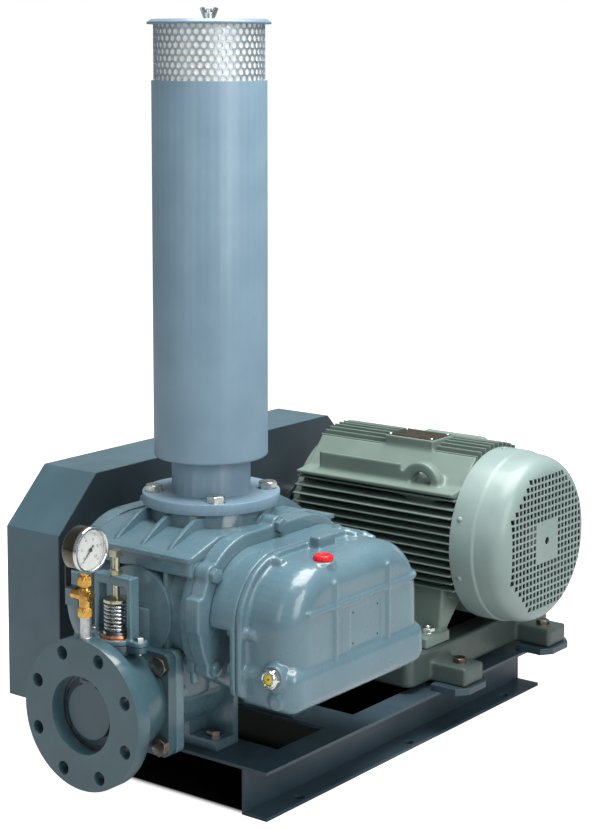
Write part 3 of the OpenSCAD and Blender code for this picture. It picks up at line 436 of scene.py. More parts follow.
FINISH = {
    "base_beams": enamel_on_rolled_channel, "base_cross_plates": enamel_on_rolled_channel,
    "bed_support_plates": enamel_on_rolled_channel, "guard_brackets": enamel_on_rolled_channel,
    "motor_bed": enamel_on_cast_bed, "bed_bolts": zinc_plated_steel,
    "motor_frame": satin_enamel_on_motor, "motor_end_shields": satin_enamel_on_motor,
    "motor_stator": varnished_winding, "fan_cover": satin_enamel_on_pressed_cover,
    "cooling_fan": fan_plastic, "motor_rotor": ground_steel, "terminal_box": satin_enamel_on_terminal_box,
    "foot_bolts": zinc_plated_steel, "motor_sheave": cast_iron_sheave, "blower_sheave": cast_iron_sheave,
    # The guard's back plate takes a darker copy of the guard enamel as painted shade
    "v_belts": belt_rubber, "guard_back_plate": enamel_on_guard_back, "guard_cover": enamel_on_sheet_guard,
    "blower_casing": gloss_enamel_on_cast_iron, "front_side_plate": gloss_enamel_on_cast_iron,
    "rear_side_plate": gloss_enamel_on_cast_iron, "casing_bolts": gloss_enamel_on_cast_iron,
    "drive_rotor": ground_steel, "driven_rotor": ground_steel, "ball_bearings": ground_steel,
    "shaft_seals": seal_rubber, "drive_timing_gear": dark_steel, "driven_timing_gear": dark_steel,
    "bearing_housing": gloss_enamel_on_cast_iron, "gear_cover": gloss_enamel_on_cast_iron,
    "rear_bearing_cover": gloss_enamel_on_cast_iron, "oil_filler_plug": red_polyethylene,
    "oil_sight_glass": chrome_plate, "drain_plug": gloss_enamel_on_cast_iron,
    # The discharge flange takes the casting's enamel painted darker, as painted shade
    "discharge_fitting": gloss_enamel_on_machined_flange, "discharge_bolts": blackened_steel,
    "check_seat": dark_paint_on_flap, "seat_retaining_ring": dark_steel, "check_flap": dark_paint_on_flap,
    "check_hinge_pin": ground_steel, "relief_yoke": gloss_enamel_on_cast_iron, "relief_seat": bare_bronze,
    "relief_disc": ground_steel, "relief_spring": bright_spring_wire,
    "relief_adjusting_screw": yellow_zinc_plated_steel, "gauge_cock": bare_brass, "cock_lever": black_vinyl,
    "gauge_case": black_chrome_plate, "gauge_dial": dial_enamel, "gauge_needle": dial_ink,
    "gauge_glass": gauge_window_glass, "suction_flange": gloss_enamel_on_pipe,
    "suction_bolts": zinc_plated_steel, "silencer_shell": gloss_enamel_on_pipe,
    "intake_screen": galvanised_sheet, "filter_element": white_fleece, "intake_cap": satin_enamel_on_cap,
    "tie_rod": ground_steel, "wing_nut": zinc_plated_steel}

made_materials = {}


def finish_of(maker):
    """The material of a finish, made once and named for its function."""
    if maker not in made_materials:
        made_materials[maker] = maker()
        made_materials[maker].name = maker.__name__
    return made_materials[maker]


def dress_frame():
    """Every CAD node gets its finish."""
    for name, obj in NODES.items():
        obj.data.materials.clear()
        obj.data.materials.append(finish_of(FINISH[name]))


# How far the edges of each CAD casting or pressing that stays in sight are rounded, in millimetres
ROUNDED = {
    "blower_casing": 2.0, "rear_side_plate": 2.0, "rear_bearing_cover": 2.0, "discharge_fitting": 1.2,
    "motor_end_shields": 1.0, "suction_flange": 0.8, "silencer_shell": 0.6, "intake_cap": 0.8,
    "guard_cover": 1.0, "guard_back_plate": 0.6, "base_beams": 0.8, "base_cross_plates": 0.6,
    "bed_support_plates": 0.8, "check_flap": 0.8}


def round_edges():
    """Welds each named node's loose triangles and rounds its edges, by modifiers alone."""
    for name, width in ROUNDED.items():
        obj = NODES[name]
        weld = obj.modifiers.new("weld", "WELD")
        weld.merge_threshold = WELD
        flat = obj.modifiers.new("flat", "DECIMATE")
        flat.decimate_type = "DISSOLVE"
        flat.angle_limit = math.radians(0.5)
        bevel = obj.modifiers.new("bevel", "BEVEL")
        bevel.width = width * MM
        bevel.segments = 2
        bevel.limit_method = "ANGLE"
        bevel.angle_limit = math.radians(40)
        bevel.harden_normals = True


# Solids in millimetres, joined in one bmesh and moved to their place at the end

def middle(node):
    """The middle of a CAD node's box, in millimetres."""
    low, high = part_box(node)
    return Vector([(a + b) / 2 / MM for a, b in zip(low, high)])


def rod(bm, start, end, radius, end_radius=None, sides=32):
    """A closed rod or cone between two points."""
    start, end = Vector(start), Vector(end)
    along = end - start
    turn = along.to_track_quat("Z", "Y").to_matrix().to_4x4()
    bmesh.ops.create_cone(bm, cap_ends=True, segments=sides, radius1=radius,
                          radius2=radius if end_radius is None else end_radius, depth=along.length,
                          matrix=Matrix.Translation((start + end) / 2) @ turn)


def box(bm, low, high):
    """A closed box between two corners."""
    low, high = Vector(low), Vector(high)
    size = Matrix.Diagonal((*(high - low), 1.0))
    bmesh.ops.create_cube(bm, size=1.0, matrix=Matrix.Translation((low + high) / 2) @ size)


def prism(bm, outline, near, far):
    """An outline of (x, z) points, closed and thick from near to far along Y."""
    front = [bm.verts.new((x, near, z)) for x, z in outline]
    back = [bm.verts.new((x, far, z)) for x, z in outline]
    bm.faces.new(front)
    bm.faces.new(reversed(back))
    for i in range(len(outline)):
        j = (i + 1) % len(outline)
        bm.faces.new((front[j], front[i], back[i], back[j]))


def wrap(bm, points):
    """The tightest skin round a cloud of points."""
    verts = [bm.verts.new(p) for p in points]
    made = bmesh.ops.convex_hull(bm, input=verts, use_existing_faces=False)
    inside = {g for g in made["geom_interior"] if isinstance(g, bmesh.types.BMVert)}
    bmesh.ops.delete(bm, geom=list(inside), context="VERTS")


def arc(centre, radius, first, last, steps=12):
    """Points of an arc in a plane, from one angle to another in degrees."""
    angles = [math.radians(first + (last - first) * i / steps) for i in range(steps + 1)]
    return [(centre[0] + radius * math.cos(a), centre[1] + radius * math.sin(a)) for a in angles]


def lathe(bm, profile, sides=48, flats=None, closed=False):
    """A profile of (radius, height) points turned about Z, or kept within a hexagon of the given width."""
    rings = []
    for radius, height in profile:
        ring = []
        for k in range(sides if radius > 0 else 1):
            angle = 2 * math.pi * k / sides
            reach = radius
            if flats:
                slant = (angle + math.pi / 6) % (math.pi / 3) - math.pi / 6
                reach = min(radius, flats / 2 / math.cos(slant))
            ring.append(bm.verts.new((reach * math.cos(angle), reach * math.sin(angle), height)))
        rings.append(ring)
    pairs = list(zip(rings, rings[1:])) + ([(rings[-1], rings[0])] if closed else [])
    for lower, upper in pairs:
        for k in range(sides):
            n = (k + 1) % sides
            corners = [lower[k % len(lower)], lower[n % len(lower)],
                       upper[n % len(upper)], upper[k % len(upper)]]
            corners = [c for i, c in enumerate(corners) if c not in corners[:i]]
            if len(corners) > 2:
                bm.faces.new(corners)


def turned(bm, degrees, axis, start=0):
    """Turns the points of a bmesh about an axis through its origin, from the given point on."""
    bm.verts.ensure_lookup_table()
    turn = Matrix.Rotation(math.radians(degrees), 4, axis)
    bmesh.ops.transform(bm, matrix=turn, verts=bm.verts[start:])


def settle(name, bm, origin=(0, 0, 0), degrees=35):
    """Moves a finished bmesh from millimetres about its origin to metres in the frame."""
    bmesh.ops.transform(bm, matrix=Matrix.Scale(MM, 4) @ Matrix.Translation(origin), verts=bm.verts)
    return shade_by_angle(mesh_object(name, bm), degrees)


def baked(obj):
    """Applies every modifier and leaves a plain mesh."""
    graph = bpy.context.evaluated_depsgraph_get()
    mesh = bpy.data.meshes.new_from_object(obj.evaluated_get(graph))
    obj.modifiers.clear()
    obj.data = mesh
    return obj


def cast(obj, grain_mm, passes):
    """Melts overlapping solids into one casting whose inner corners are filled, as in a sand mould."""
    melt = obj.modifiers.new("melt", "REMESH")
    melt.mode = "VOXEL"
    melt.voxel_size = grain_mm * MM
    soften = obj.modifiers.new("soften", "SMOOTH")
    soften.factor = 0.5
    soften.iterations = passes
    baked(obj)
    for face in obj.data.polygons:
        face.use_smooth = True
    return obj


def carve(obj, cutter):
    """Takes one solid away from another, for good."""
    cut = obj.modifiers.new("cut", "BOOLEAN")
    cut.operation = "DIFFERENCE"
    cut.solver = "EXACT"
    cut.object = cutter
    baked(obj)
    bpy.data.objects.remove(cutter)
    return obj


# Geometry Nodes

def socket(tree, name, kind, in_out="INPUT"):
    """A named input or output of a Geometry Nodes tree."""
    return tree.interface.new_socket(name=name, in_out=in_out, socket_type=kind)


def new_tree(name, inputs):
    """An empty tree with a mesh input, the named inputs, and a mesh output."""
    tree = bpy.data.node_groups.new(name, "GeometryNodeTree")
    socket(tree, "Mesh", "NodeSocketGeometry")
    for label, kind in inputs.items():
        socket(tree, label, kind)
    socket(tree, "Mesh", "NodeSocketGeometry", "OUTPUT")
    given = add(tree, "NodeGroupInput")
    return tree, given


def math_node(tree, operation, first, second):
    """One sum: each side is a number or a socket."""
    made = add(tree, "ShaderNodeMath", {"operation": operation})
    for index, side in enumerate((first, second)):
        if isinstance(side, (int, float)):
            made.inputs[index].default_value = side
        else:
            tree.links.new(side, made.inputs[index])
    return made.outputs[0]


def close_tree(tree, given, mesh):
    """Real meshes and one material at the end of a tree."""
    real = add(tree, "GeometryNodeRealizeInstances", {}, {0: mesh})
    finish = add(tree, "GeometryNodeSetMaterial", {},
                 {0: real.outputs[0], "Material": given.outputs["Finish"]})
    add(tree, "NodeGroupOutput", {}, {0: finish.outputs[0]})


def grown(obj, tree, values):
    """Runs a tree on an object and leaves the plain mesh that it makes."""
    grow = obj.modifiers.new("grow", "NODES")
    grow.node_group = tree
    for item in tree.interface.items_tree:
        if item.in_out == "INPUT" and item.name in values:
            grow[item.identifier] = values[item.name]
    return baked(obj)


def fastener_tree():
    """Sets a copy of the fastener on each point, along its own axis and turned by its own angle."""
    tree, given = new_tree("fasteners", {"Fastener": "NodeSocketObject", "Finish": "NodeSocketMaterial"})
    axis = add(tree, "GeometryNodeInputNamedAttribute", {"data_type": "FLOAT_VECTOR", "Name": "axis"})
    turn = add(tree, "GeometryNodeInputNamedAttribute", {"data_type": "FLOAT", "Name": "turn"})
    spin = add(tree, "ShaderNodeCombineXYZ", {}, {2: turn.outputs[0]})
    spin = add(tree, "FunctionNodeEulerToRotation", {}, {0: spin.outputs[0]})
    aim = add(tree, "FunctionNodeAlignRotationToVector", {"axis": "Z"}, {"Vector": axis.outputs[0]})
    both = add(tree, "FunctionNodeRotateRotation", {"rotation_space": "LOCAL"},
               {0: aim.outputs[0], 1: spin.outputs[0]})
    copy = add(tree, "GeometryNodeObjectInfo", {"As Instance": True}, {"Object": given.outputs["Fastener"]})
    spread = add(tree, "GeometryNodeInstanceOnPoints", {},
                 {"Points": given.outputs["Mesh"], "Instance": copy.outputs["Geometry"],
                  "Rotation": both.outputs[0]})
    close_tree(tree, given, spread.outputs[0])
    return tree


FASTENERS = fastener_tree()


def scatter(name, template, places, finish):
    """One mesh with a copy of the template at each (place in mm, axis, turn in degrees)."""
    mesh = bpy.data.meshes.new(name)
    mesh.from_pydata([Vector(spot) * MM for spot, axis, turn in places], [], [])
    mesh.attributes.new("axis", "FLOAT_VECTOR", "POINT")
    mesh.attributes.new("turn", "FLOAT", "POINT")
    for i, (spot, axis, turn) in enumerate(places):
        mesh.attributes["axis"].data[i].vector = Vector(axis)
        mesh.attributes["turn"].data[i].value = math.radians(turn)
    obj = bpy.data.objects.new(name, mesh)
    bpy.context.scene.collection.objects.link(obj)
    grown(obj, FASTENERS, {"Fastener": template, "Finish": finish})
    bpy.data.objects.remove(template)
    return shade_by_angle(obj)


# Bolts: width across flats, height of the head and radius of the shank, in millimetres
M8, M10, M12, M16 = (13, 5.3, 4), (16, 8, 5), (19, 7.5, 6), (24, 10, 8)
M12_NUT = (19, 7.0, 6)
M12_WASHER = 2.0


def hex_bolt(flats, head, shank, length, washer=0.0, stud=0.0):
    """A chamfered hexagon on a washer, its threaded shank below and, under a nut, the stud's end above."""
    bm = bmesh.new()
    corner = flats / 2 / math.cos(math.pi / 6)
    chamfer = corner - flats / 2 * 0.97
    top = washer + head
    lathe(bm, [(0, washer), (corner, washer), (corner, top - chamfer * 0.6)]
          + [(corner - chamfer * i / 3, top - chamfer * 0.6 * (3 - i) / 3) for i in (1, 2, 3)] + [(0, top)],
          36, flats)
    if washer:
        rim = flats * 0.56
        lathe(bm, [(shank, 0), (rim, 0), (rim + 0.4, washer * 0.3), (rim + 0.4, washer * 0.7),
                   (rim, washer), (shank, washer)], 36, closed=True)
    rod(bm, (0, 0, -length), (0, 0, washer + 1), shank, sides=24)
    if stud:
        pitch = 1.5
        turns = max(2, int(stud / pitch))
        thread = [(0, top - 1)]
        for i in range(turns):
            thread += [(shank - 0.9, top - 1 + i * pitch), (shank, top - 1 + (i + 0.5) * pitch)]
        lathe(bm, thread + [(shank - 1.2, top + turns * pitch - 0.6), (0, top + turns * pitch - 0.6)], 24)
    return settle("fastener", bm)


def dome_screw(radius, height, length):
    """A small screw with a domed head."""
    bm = bmesh.new()
    angles = [math.radians(a) for a in range(0, 90, 15)]
    dome = [(radius * math.cos(a), height * math.sin(a)) for a in angles]
    lathe(bm, [(0, -0.2), (radius, -0.2)] + dome + [(0, height)], 20)
    rod(bm, (0, 0, -length), (0, 0, 0), radius * 0.55, sides=12)
    return settle("fastener", bm)


def standing(node):
    """Where a node's bolts stand, in millimetres: x and y, then the height of its foot and of its top."""
    return [((low.x + high.x) / 2 / MM, (low.y + high.y) / 2 / MM, low.z / MM, high.z / MM)
            for low, high in islands(node)]


def fastened(name, template, places, finish):
    """A set of equal fasteners that stands still."""
    return place(scatter(name, template, places, finish), STATIC, finish)


def make_bolts():
    """The bolts of the bed, the feet, the flanges and the port, each where its solid stands."""
    zinc, dark = finish_of(zinc_plated_steel), finish_of(blackened_steel)
    up, down, towards_port = (0, 0, 1), (0, 0, -1), (-1, 0, 0)
    head = M12[1]
    places = [((x, y, top - head - M12_WASHER), up, 20 * i)
              for i, (x, y, _, top) in enumerate(standing("bed_bolts"))]
    obj = fastened("bed_bolt_set", hex_bolt(*M12, length=37, washer=M12_WASHER), places, dark)
    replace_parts(obj, "bed_bolts")

    tallest_nut, above_bed = 12, 90
    studs, heads, nuts = [], [], []
    for i, (x, y, low, top) in enumerate(standing("foot_bolts")):
        if top - low < tallest_nut:
            nuts.append(((x, y, top), down, 11 * i))
        elif low > above_bed:
            studs.append(((x, y, top - head - M12_WASHER), up, 25 * i))
        else:
            heads.append(((x, y, top - head), up, 25 * i))
    bolt = hex_bolt(*M12_NUT, length=45, washer=2.4, stud=5.0)
    obj = fastened("motor_foot_bolt_set", bolt, studs, zinc)
    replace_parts(obj, "foot_bolts")
    fastened("blower_foot_bolt_set", hex_bolt(*M12, length=31), heads, dark)
    fastened("foot_nut_set", hex_bolt(*M12, length=1), nuts, zinc)

    longest_upright = 30 * MM
    across, upright = [], []
    for i, (low, high) in enumerate(islands("discharge_bolts")):
        x, y, z = [(low[k] + high[k]) / 2 / MM for k in range(3)]
        if high.x - low.x > longest_upright:
            across.append(((low.x / MM + M16[1], y, z), towards_port, 17 * i))
        else:
            upright.append(((x, y, high.z / MM - M8[1]), up, 17 * i))
    obj = fastened("discharge_bolt_set", hex_bolt(*M16, length=31), across, dark)
    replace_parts(obj, "discharge_bolts")
    fastened("yoke_bolt_set", hex_bolt(*M8, length=20), upright, zinc)

    washer = 2.5
    places = [((x, y, top - M16[1] - washer), up, 13 * i)
              for i, (x, y, _, top) in enumerate(standing("suction_bolts"))]
    obj = fastened("suction_bolt_set", hex_bolt(*M16, length=36, washer=washer), places, zinc)
    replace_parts(obj, "suction_bolts")


# Gear case: in millimetres, x and z from the middle between the two shafts

DRIVE_GEAR, DRIVEN_GEAR = middle("drive_timing_gear"), middle("driven_timing_gear")
HALF_PITCH = (DRIVE_GEAR.x - DRIVEN_GEAR.x) / 2
BLOWER = Vector(((DRIVEN_GEAR.x + DRIVE_GEAR.x) / 2, 0, DRIVEN_GEAR.z))
CASE_BACK, CASE_JOINT = -125.0, -170.0
CASE_DEEP = 96.0
CASE_FRONT = CASE_JOINT - CASE_DEEP

# The joint's outline: two half rounds above, with the case longer on the drive side, and a flat foot
CASE_R, CASE_LOW, CASE_EXTRA, CASE_CORNER = 92.0, 95.0, 22.0, 12.0
CASE_LEFT, CASE_RIGHT = -HALF_PITCH, HALF_PITCH + CASE_EXTRA

# The bulged body of the cover, and the sump that stands further out below it
BODY_R, BODY_ROUND = 84.0, 36.0
BODY_LEFT, BODY_RIGHT = -HALF_PITCH + 6, HALF_PITCH + CASE_EXTRA + 3
MAIN_FACE = CASE_FRONT + 8
SUMP_LEFT, SUMP_RIGHT, SUMP_LOW, SUMP_TOP = -148.0, BODY_RIGHT + BODY_R, 108.0, 44.0
SUMP_BOSS = SUMP_LEFT - 3

# The lugs round the joint, each with its bolt
LUG_R = 10
CASE_LUGS = [(-80, 81), (-140, -6), (-140, -58), (92, 84), (133, 71), (158, -70)]


def case_outline():
    """Outline of the joint between the bearing housing and the gear cover."""
    left, right = CASE_LEFT - CASE_R + CASE_CORNER, CASE_RIGHT + CASE_R - CASE_CORNER
    foot = -CASE_LOW + CASE_CORNER
    return (arc((CASE_RIGHT, 0), CASE_R, 0, 90, 16) + arc((CASE_LEFT, 0), CASE_R, 90, 180, 16)
            + arc((left, foot), CASE_CORNER, 180, 270, 4) + arc((right, foot), CASE_CORNER, 270, 360, 4))


def disc_points(x, z, radius, rounding, front, back):
    """A disc about Y whose front edge is rounded, as points for a skin."""
    rings = [(radius - rounding + rounding * math.cos(math.radians(a)),
              front + rounding - rounding * math.sin(math.radians(a))) for a in range(0, 91, 10)]
    rings.append((radius, back))
    return [(x + r * math.cos(math.radians(a)), y, z + r * math.sin(math.radians(a)))
            for r, y in rings for a in range(0, 360, 8)]


def ball_points(centre, radius):
    """A ball, as points for a skin."""
    return [(centre[0] + radius * math.cos(math.radians(a)) * math.cos(math.radians(b)),
             centre[1] + radius * math.sin(math.radians(b)),
             centre[2] + radius * math.sin(math.radians(a)) * math.cos(math.radians(b)))
            for a in range(0, 360, 15) for b in range(-90, 91, 15)]


def case_ribs(bm):
    """Round ribs on the cover's face: one level, which runs round the right corner, and two upright."""
    z, r, top = 25, 4, 58
    first, last = BODY_LEFT - BODY_R + BODY_ROUND - 3, BODY_RIGHT + BODY_R - BODY_ROUND - 2
    rod(bm, (first, MAIN_FACE, z), (last, MAIN_FACE, z), r, sides=16)
    bend = [(last + BODY_ROUND * math.sin(a), MAIN_FACE + BODY_ROUND - BODY_ROUND * math.cos(a), z)
            for a in [math.radians(9 * i) for i in range(8)]]
    for here, there in zip(bend, bend[1:]):
        rod(bm, here, there, r, sides=16)
    for x in (-46, 79):
        rod(bm, (x, MAIN_FACE, -SUMP_TOP - 6), (x, MAIN_FACE, top), r, sides=16)
        rod(bm, (x, MAIN_FACE, top), (x, MAIN_FACE, top + 2), r, r - 1.5, 16)


def press_panel(obj, low, high, depth):
    """Sinks the cover's face a little inside a rectangle."""
    face = (MAIN_FACE + 1.5) * MM
    for vert in obj.data.vertices:
        x, z = vert.co.x / MM - BLOWER[0], vert.co.z / MM - BLOWER[2]
        if vert.co.y < face and low[0] < x < high[0] and low[1] < z < high[1]:
            vert.co.y += depth * MM


def case_body(bm):
    """The cover's bulged body, tight round four discs with rounded front edges."""
    points = []
    for x in (BODY_LEFT, BODY_RIGHT):
        points += disc_points(x, 0, BODY_R, BODY_ROUND, MAIN_FACE, CASE_JOINT - 1)
    for x in (BODY_LEFT - BODY_R + BODY_ROUND, SUMP_RIGHT - BODY_ROUND):
        points += disc_points(x, -CASE_LOW + BODY_ROUND + 4, BODY_ROUND + 1, BODY_ROUND,
                              MAIN_FACE, CASE_JOINT - 1)
    wrap(bm, points)


def case_sump(bm):
    """The oil sump, tight round balls at its front corners and discs at its back ones."""
    points = []
    for side, x in ((-1, SUMP_LEFT), (1, SUMP_RIGHT)):
        points += ball_points((x - side * 24, CASE_FRONT + 24, -SUMP_LOW + 24), 24)
        points += ball_points((x - side * 20, CASE_FRONT + 20, -SUMP_TOP - 18), 18)
        points += disc_points(x - side * 28, -SUMP_LOW + 28, 28, 2, CASE_JOINT - 20, CASE_JOINT - 1)
    wrap(bm, points)


def make_gear_cover(plug, eye, drain, enamel):
    """The gear cover with its sump, ribs, lugs, top pad, and bosses for filler, sight glass and drain."""
    bm = bmesh.new()
    prism(bm, case_outline(), CASE_JOINT - 10, CASE_JOINT)
    case_body(bm)
    case_sump(bm)
    case_ribs(bm)
    for x, z in CASE_LUGS:
        rod(bm, (x, CASE_JOINT, z), (x, CASE_JOINT - 10, z), LUG_R)
        rod(bm, (x, CASE_JOINT - 8, z), (x, CASE_JOINT - 26, z), LUG_R - 1, 6)
    box(bm, (-3, CASE_JOINT - 29, BODY_R - 8), (36, CASE_JOINT - 11, BODY_R + 17))
    rod(bm, (plug.x, plug.y, 40), (plug.x, plug.y, BODY_R - 1), 9, 18)
    rod(bm, (plug.x, plug.y, 66), (plug.x, plug.y, BODY_R - 1), 18)
    for at, radius in ((eye, 17), (drain, 11)):
        rod(bm, (SUMP_BOSS, at.y, at.z), (SUMP_LEFT + 30, at.y, at.z), radius)
    cover = cast(settle("gear_case_cover", bm, BLOWER), grain_mm=2.1, passes=5)
    press_panel(cover, (-10, -44), (62, 12), depth=0.9)
    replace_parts(place(cover, STATIC, enamel), "gear_cover")


def make_bearing_housing(enamel):
    """The bearing housing: its flange and lugs, two round bosses, the outer wall and two webs."""
    near, far = CASE_JOINT + 8, CASE_BACK - 0.3
    bm = bmesh.new()
    prism(bm, case_outline(), CASE_JOINT + 0.4, CASE_JOINT + 10)
    for x, z in CASE_LUGS:
        rod(bm, (x, CASE_JOINT + 0.4, z), (x, CASE_JOINT + 10, z), LUG_R)
    for side in (-1, 1):
        rod(bm, (side * HALF_PITCH, near, 0), (side * HALF_PITCH, far, 0), 57)
    roof = arc((CASE_RIGHT, 0), CASE_R, 0, 90, 16) + arc((CASE_LEFT, 0), CASE_R, 90, 180, 16)
    inner = arc((CASE_LEFT, 0), CASE_R - 9, 180, 90, 16) + arc((CASE_RIGHT, 0), CASE_R - 9, 90, 0, 16)
    prism(bm, roof + inner, near, far)
    box(bm, (CASE_LEFT - CASE_R + 2, near, -4), (CASE_RIGHT + CASE_R - 2, far, 4))
    box(bm, (-4, near, -CASE_LOW + 6), (4, far, CASE_R - 2))
    housing = cast(settle("gear_case_housing", bm, BLOWER), grain_mm=1.9, passes=3)
    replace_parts(place(housing, STATIC, enamel), "bearing_housing")


def make_casing_bolts(enamel):
    """Bolts in the gear case's lugs, and round both side plates where the CAD's large bolts are."""
    head, large = M12[1], 18 * MM
    places = [((x + BLOWER[0], CASE_JOINT + 10, z + BLOWER[2]), (0, 1, 0), 13 * i)
              for i, (x, z) in enumerate(CASE_LUGS)]
    for i, (low, high) in enumerate(islands("casing_bolts")):
        x, z = (low.x + high.x) / 2 / MM, (low.z + high.z) / 2 / MM
        if high.x - low.x > large:
            front = high.y < 0
            y = (low.y if front else high.y) / MM
            places.append(((x, y + (head if front else -head), z), (0, -1 if front else 1, 0), 7 * i))
    bolts = fastened("casing_bolt_set", hex_bolt(*M12, length=18), places, enamel)
    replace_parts(bolts, "casing_bolts")


def make_gear_case():
    """The gear cover, the bearing housing behind it, their bolts, and what is screwed into the cover."""
    enamel, ink = finish_of(gloss_enamel_on_cast_iron), finish_of(dial_ink)
    screwed_in = ("oil_filler_plug", "oil_sight_glass", "drain_plug")
    plug, eye, drain = [middle(node) - BLOWER for node in screwed_in]
    make_gear_cover(plug, eye, drain, enamel)
    make_bearing_housing(enamel)
    make_casing_bolts(enamel)
    make_filler_cap(plug)
    make_sight_glass(eye)
    pins = [((x + BLOWER[0], MAIN_FACE + 0.6, z + BLOWER[2]), (0, -1, 0), 0)
            for x in (-3, 55) for z in (-38, 5)]
    fastened("panel_pins", dome_screw(radius=1.3, height=0.5, length=2), pins, ink)


def make_filler_cap(at):
    """Round plastic cap with a ribbed rim, a hollow in its top and a raised bar across."""
    bm = bmesh.new()
    lathe(bm, [(0, -14), (9, -14), (9, 0.2), (13, 0.2), (13.2, 1.0), (13.2, 5.6), (12.6, 7.0), (11.4, 7.8),
               (10.2, 7.6), (9.4, 6.6), (0, 6.4)], 40)
    ribs, rib_reach = 20, 13.1
    for i in range(ribs):
        angle = 2 * math.pi * i / ribs
        x, y = rib_reach * math.cos(angle), rib_reach * math.sin(angle)
        rod(bm, (x, y, 0.8), (x, y, 6.0), 0.9, sides=8)
    box(bm, (-8.5, -1.6, 6.0), (8.5, 1.6, 7.4))
    cap = settle("ribbed_filler_cap", bm, (at.x + BLOWER[0], at.y, BLOWER[2] + BODY_R - 1))
    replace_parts(place(cap, STATIC, finish_of(red_polyethylene)), "oil_filler_plug")


def make_sight_glass(at):
    """Chromed hexagon fitting with a domed window, a yellow-green float disc and a red centre."""
    home = (SUMP_BOSS + BLOWER[0], at.y, at.z + BLOWER[2])
    body = [(10, -24), (10, 0.5), (15, 0.5), (15, 5.0), (13.6, 6.5), (12.0, 7.0), (11.0, 9.5), (9.6, 10.5),
            (8.4, 9.6), (8.0, 7.0), (0, 7.0), (0, -24)]
    window = [(0, 7.05), (8.2, 7.05), (7.4, 8.6), (5.2, 9.8), (0, 10.2)]
    mark = [(0, 9.6), (2.2, 9.6), (2.0, 10.5), (0, 10.7)]
    made = []
    for name, profile, sides, flats, aside, above in (
            ("sight_glass_body", body, 36, 26, 0, 0), ("sight_glass_window", window, 32, None, 0, 0),
            ("sight_glass_mark", mark, 20, None, -1.5, 1)):
        bm = bmesh.new()
        lathe(bm, profile, sides, flats)
        turned(bm, -90, "Y")
        made.append(settle(name, bm, (home[0], home[1] + aside, home[2] + above)))
    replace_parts(place(made[0], STATIC, finish_of(chrome_plate)), "oil_sight_glass")
    place(made[1], STATIC, finish_of(oil_behind_glass))
    place(made[2], STATIC, finish_of(red_polyethylene))


# Motor: in millimetres, x and z from the middle of its shaft

MOTOR = middle("motor_stator")
MOTOR_FRONT, MOTOR_BACK = -181.0, 125.0
COVER_R = 136.5

# The frame's tube and its fins
FRAME_R, FRAME_BORE = 108.0, 93
FIN_T, FIN_TOP, FIN_LOW = 3.5, 144.0, 128
SIDE_FINS, TOP_FINS, LOW_FINS = 12, 10, 7
SIDE_PITCH, TOP_PITCH = 13.0, 12.5
SHOULDER = (SIDE_FINS - 1) / 2 * SIDE_PITCH + FIN_T / 2

# The lugs of the through bolts at the frame's corners, and how far out their bolts run
CORNERS = (45, 135, 225, 315)
THROUGH_LUG = 20
THROUGH_R = 122


def fin(bm, z, reach, side, upright=False):
    """One cooling fin: a long tapered bar with a rounded crest."""
    inner, half, crest = 60.0, FIN_T / 2, FIN_T / 2 - 0.5
    line = [(inner, -half - 0.4), (reach - 1, -crest), (reach, -crest + 0.7), (reach, crest - 0.7),
            (reach - 1, crest), (inner, half + 0.4)]
    outline = [(side * x, z + dz) for x, dz in line]
    if upright:
        outline = [(z + dz, side * x) for x, dz in line]
    if side < 0:
        outline.reverse()
    prism(bm, outline, MOTOR_FRONT, MOTOR_BACK)


def fin_reach(offset, limit):
    """How far a fin reaches: to its side's limit or to the round outline of the frame."""
    return min(limit, math.sqrt(max(1.0, FIN_TOP ** 2 - (abs(offset) + FIN_T / 2) ** 2)))


def lifting_eye(bm, x, y, z):
    """Cast lifting eye: a thick ring on a wide root."""
    angles = [math.radians(a) for a in range(0, 360, 10)]
    ring = [(y + 36 * math.cos(a), z + 36 * math.sin(a)) for a in angles]
    hole = [(y + 20 * math.cos(a), z + 20 * math.sin(a)) for a in angles]
    for i in range(len(angles)):
        j = (i + 1) % len(angles)
        low = [bm.verts.new((x - 9, *ring[i])), bm.verts.new((x - 9, *ring[j])),
               bm.verts.new((x - 9, *hole[j])), bm.verts.new((x - 9, *hole[i]))]
        high = [bm.verts.new((x + 9, v.co.y, v.co.z)) for v in low]
        bm.faces.new(low)
        bm.faces.new(reversed(high))
        bm.faces.new((low[1], low[0], high[0], high[1]))
        bm.faces.new((low[3], low[2], high[2], high[3]))
    bmesh.ops.remove_doubles(bm, verts=bm.verts, dist=0.001)
    box(bm, (x - 12, y - 44, z - 14), (x + 12, y + 44, z - 21))


def frame_flank(bm, side):
    """On one side of the motor: the sloping shoulder, the rib down to the foot, and the foot."""
    slope = [(side * 56, 104), (side * 56, 132), (side * 98, SHOULDER + 14), (side * 128, SHOULDER + 10),
             (side * 130, SHOULDER + 5), (side * 90, SHOULDER - 8), (side * 60, 60)]
    if side > 0:
        slope.reverse()
    prism(bm, slope, MOTOR_FRONT + 1, MOTOR_BACK - 1)
    lower = [(side * 60, -70), (side * 104, -62), (side * 114, -142), (side * 90, -142), (side * 52, -104)]
    if side < 0:
        lower.reverse()
    prism(bm, lower, -150, 90)
    foot = side * 127
    box(bm, (foot - 33, -156, -160), (foot + 33, 95, -142.3))


def frame_shelf(bm, side, near, far):
    """The low wall and shelf on the shoulder beside a lifting eye."""
    wall = sorted((side * 105, side * 109))
    shelf = sorted((side * 96, side * 124))
    box(bm, (wall[0], near, SHOULDER + 8), (wall[1], far, SHOULDER + 42))
    box(bm, (shelf[0], near + 3, SHOULDER + 7), (shelf[1], far, SHOULDER + 12))


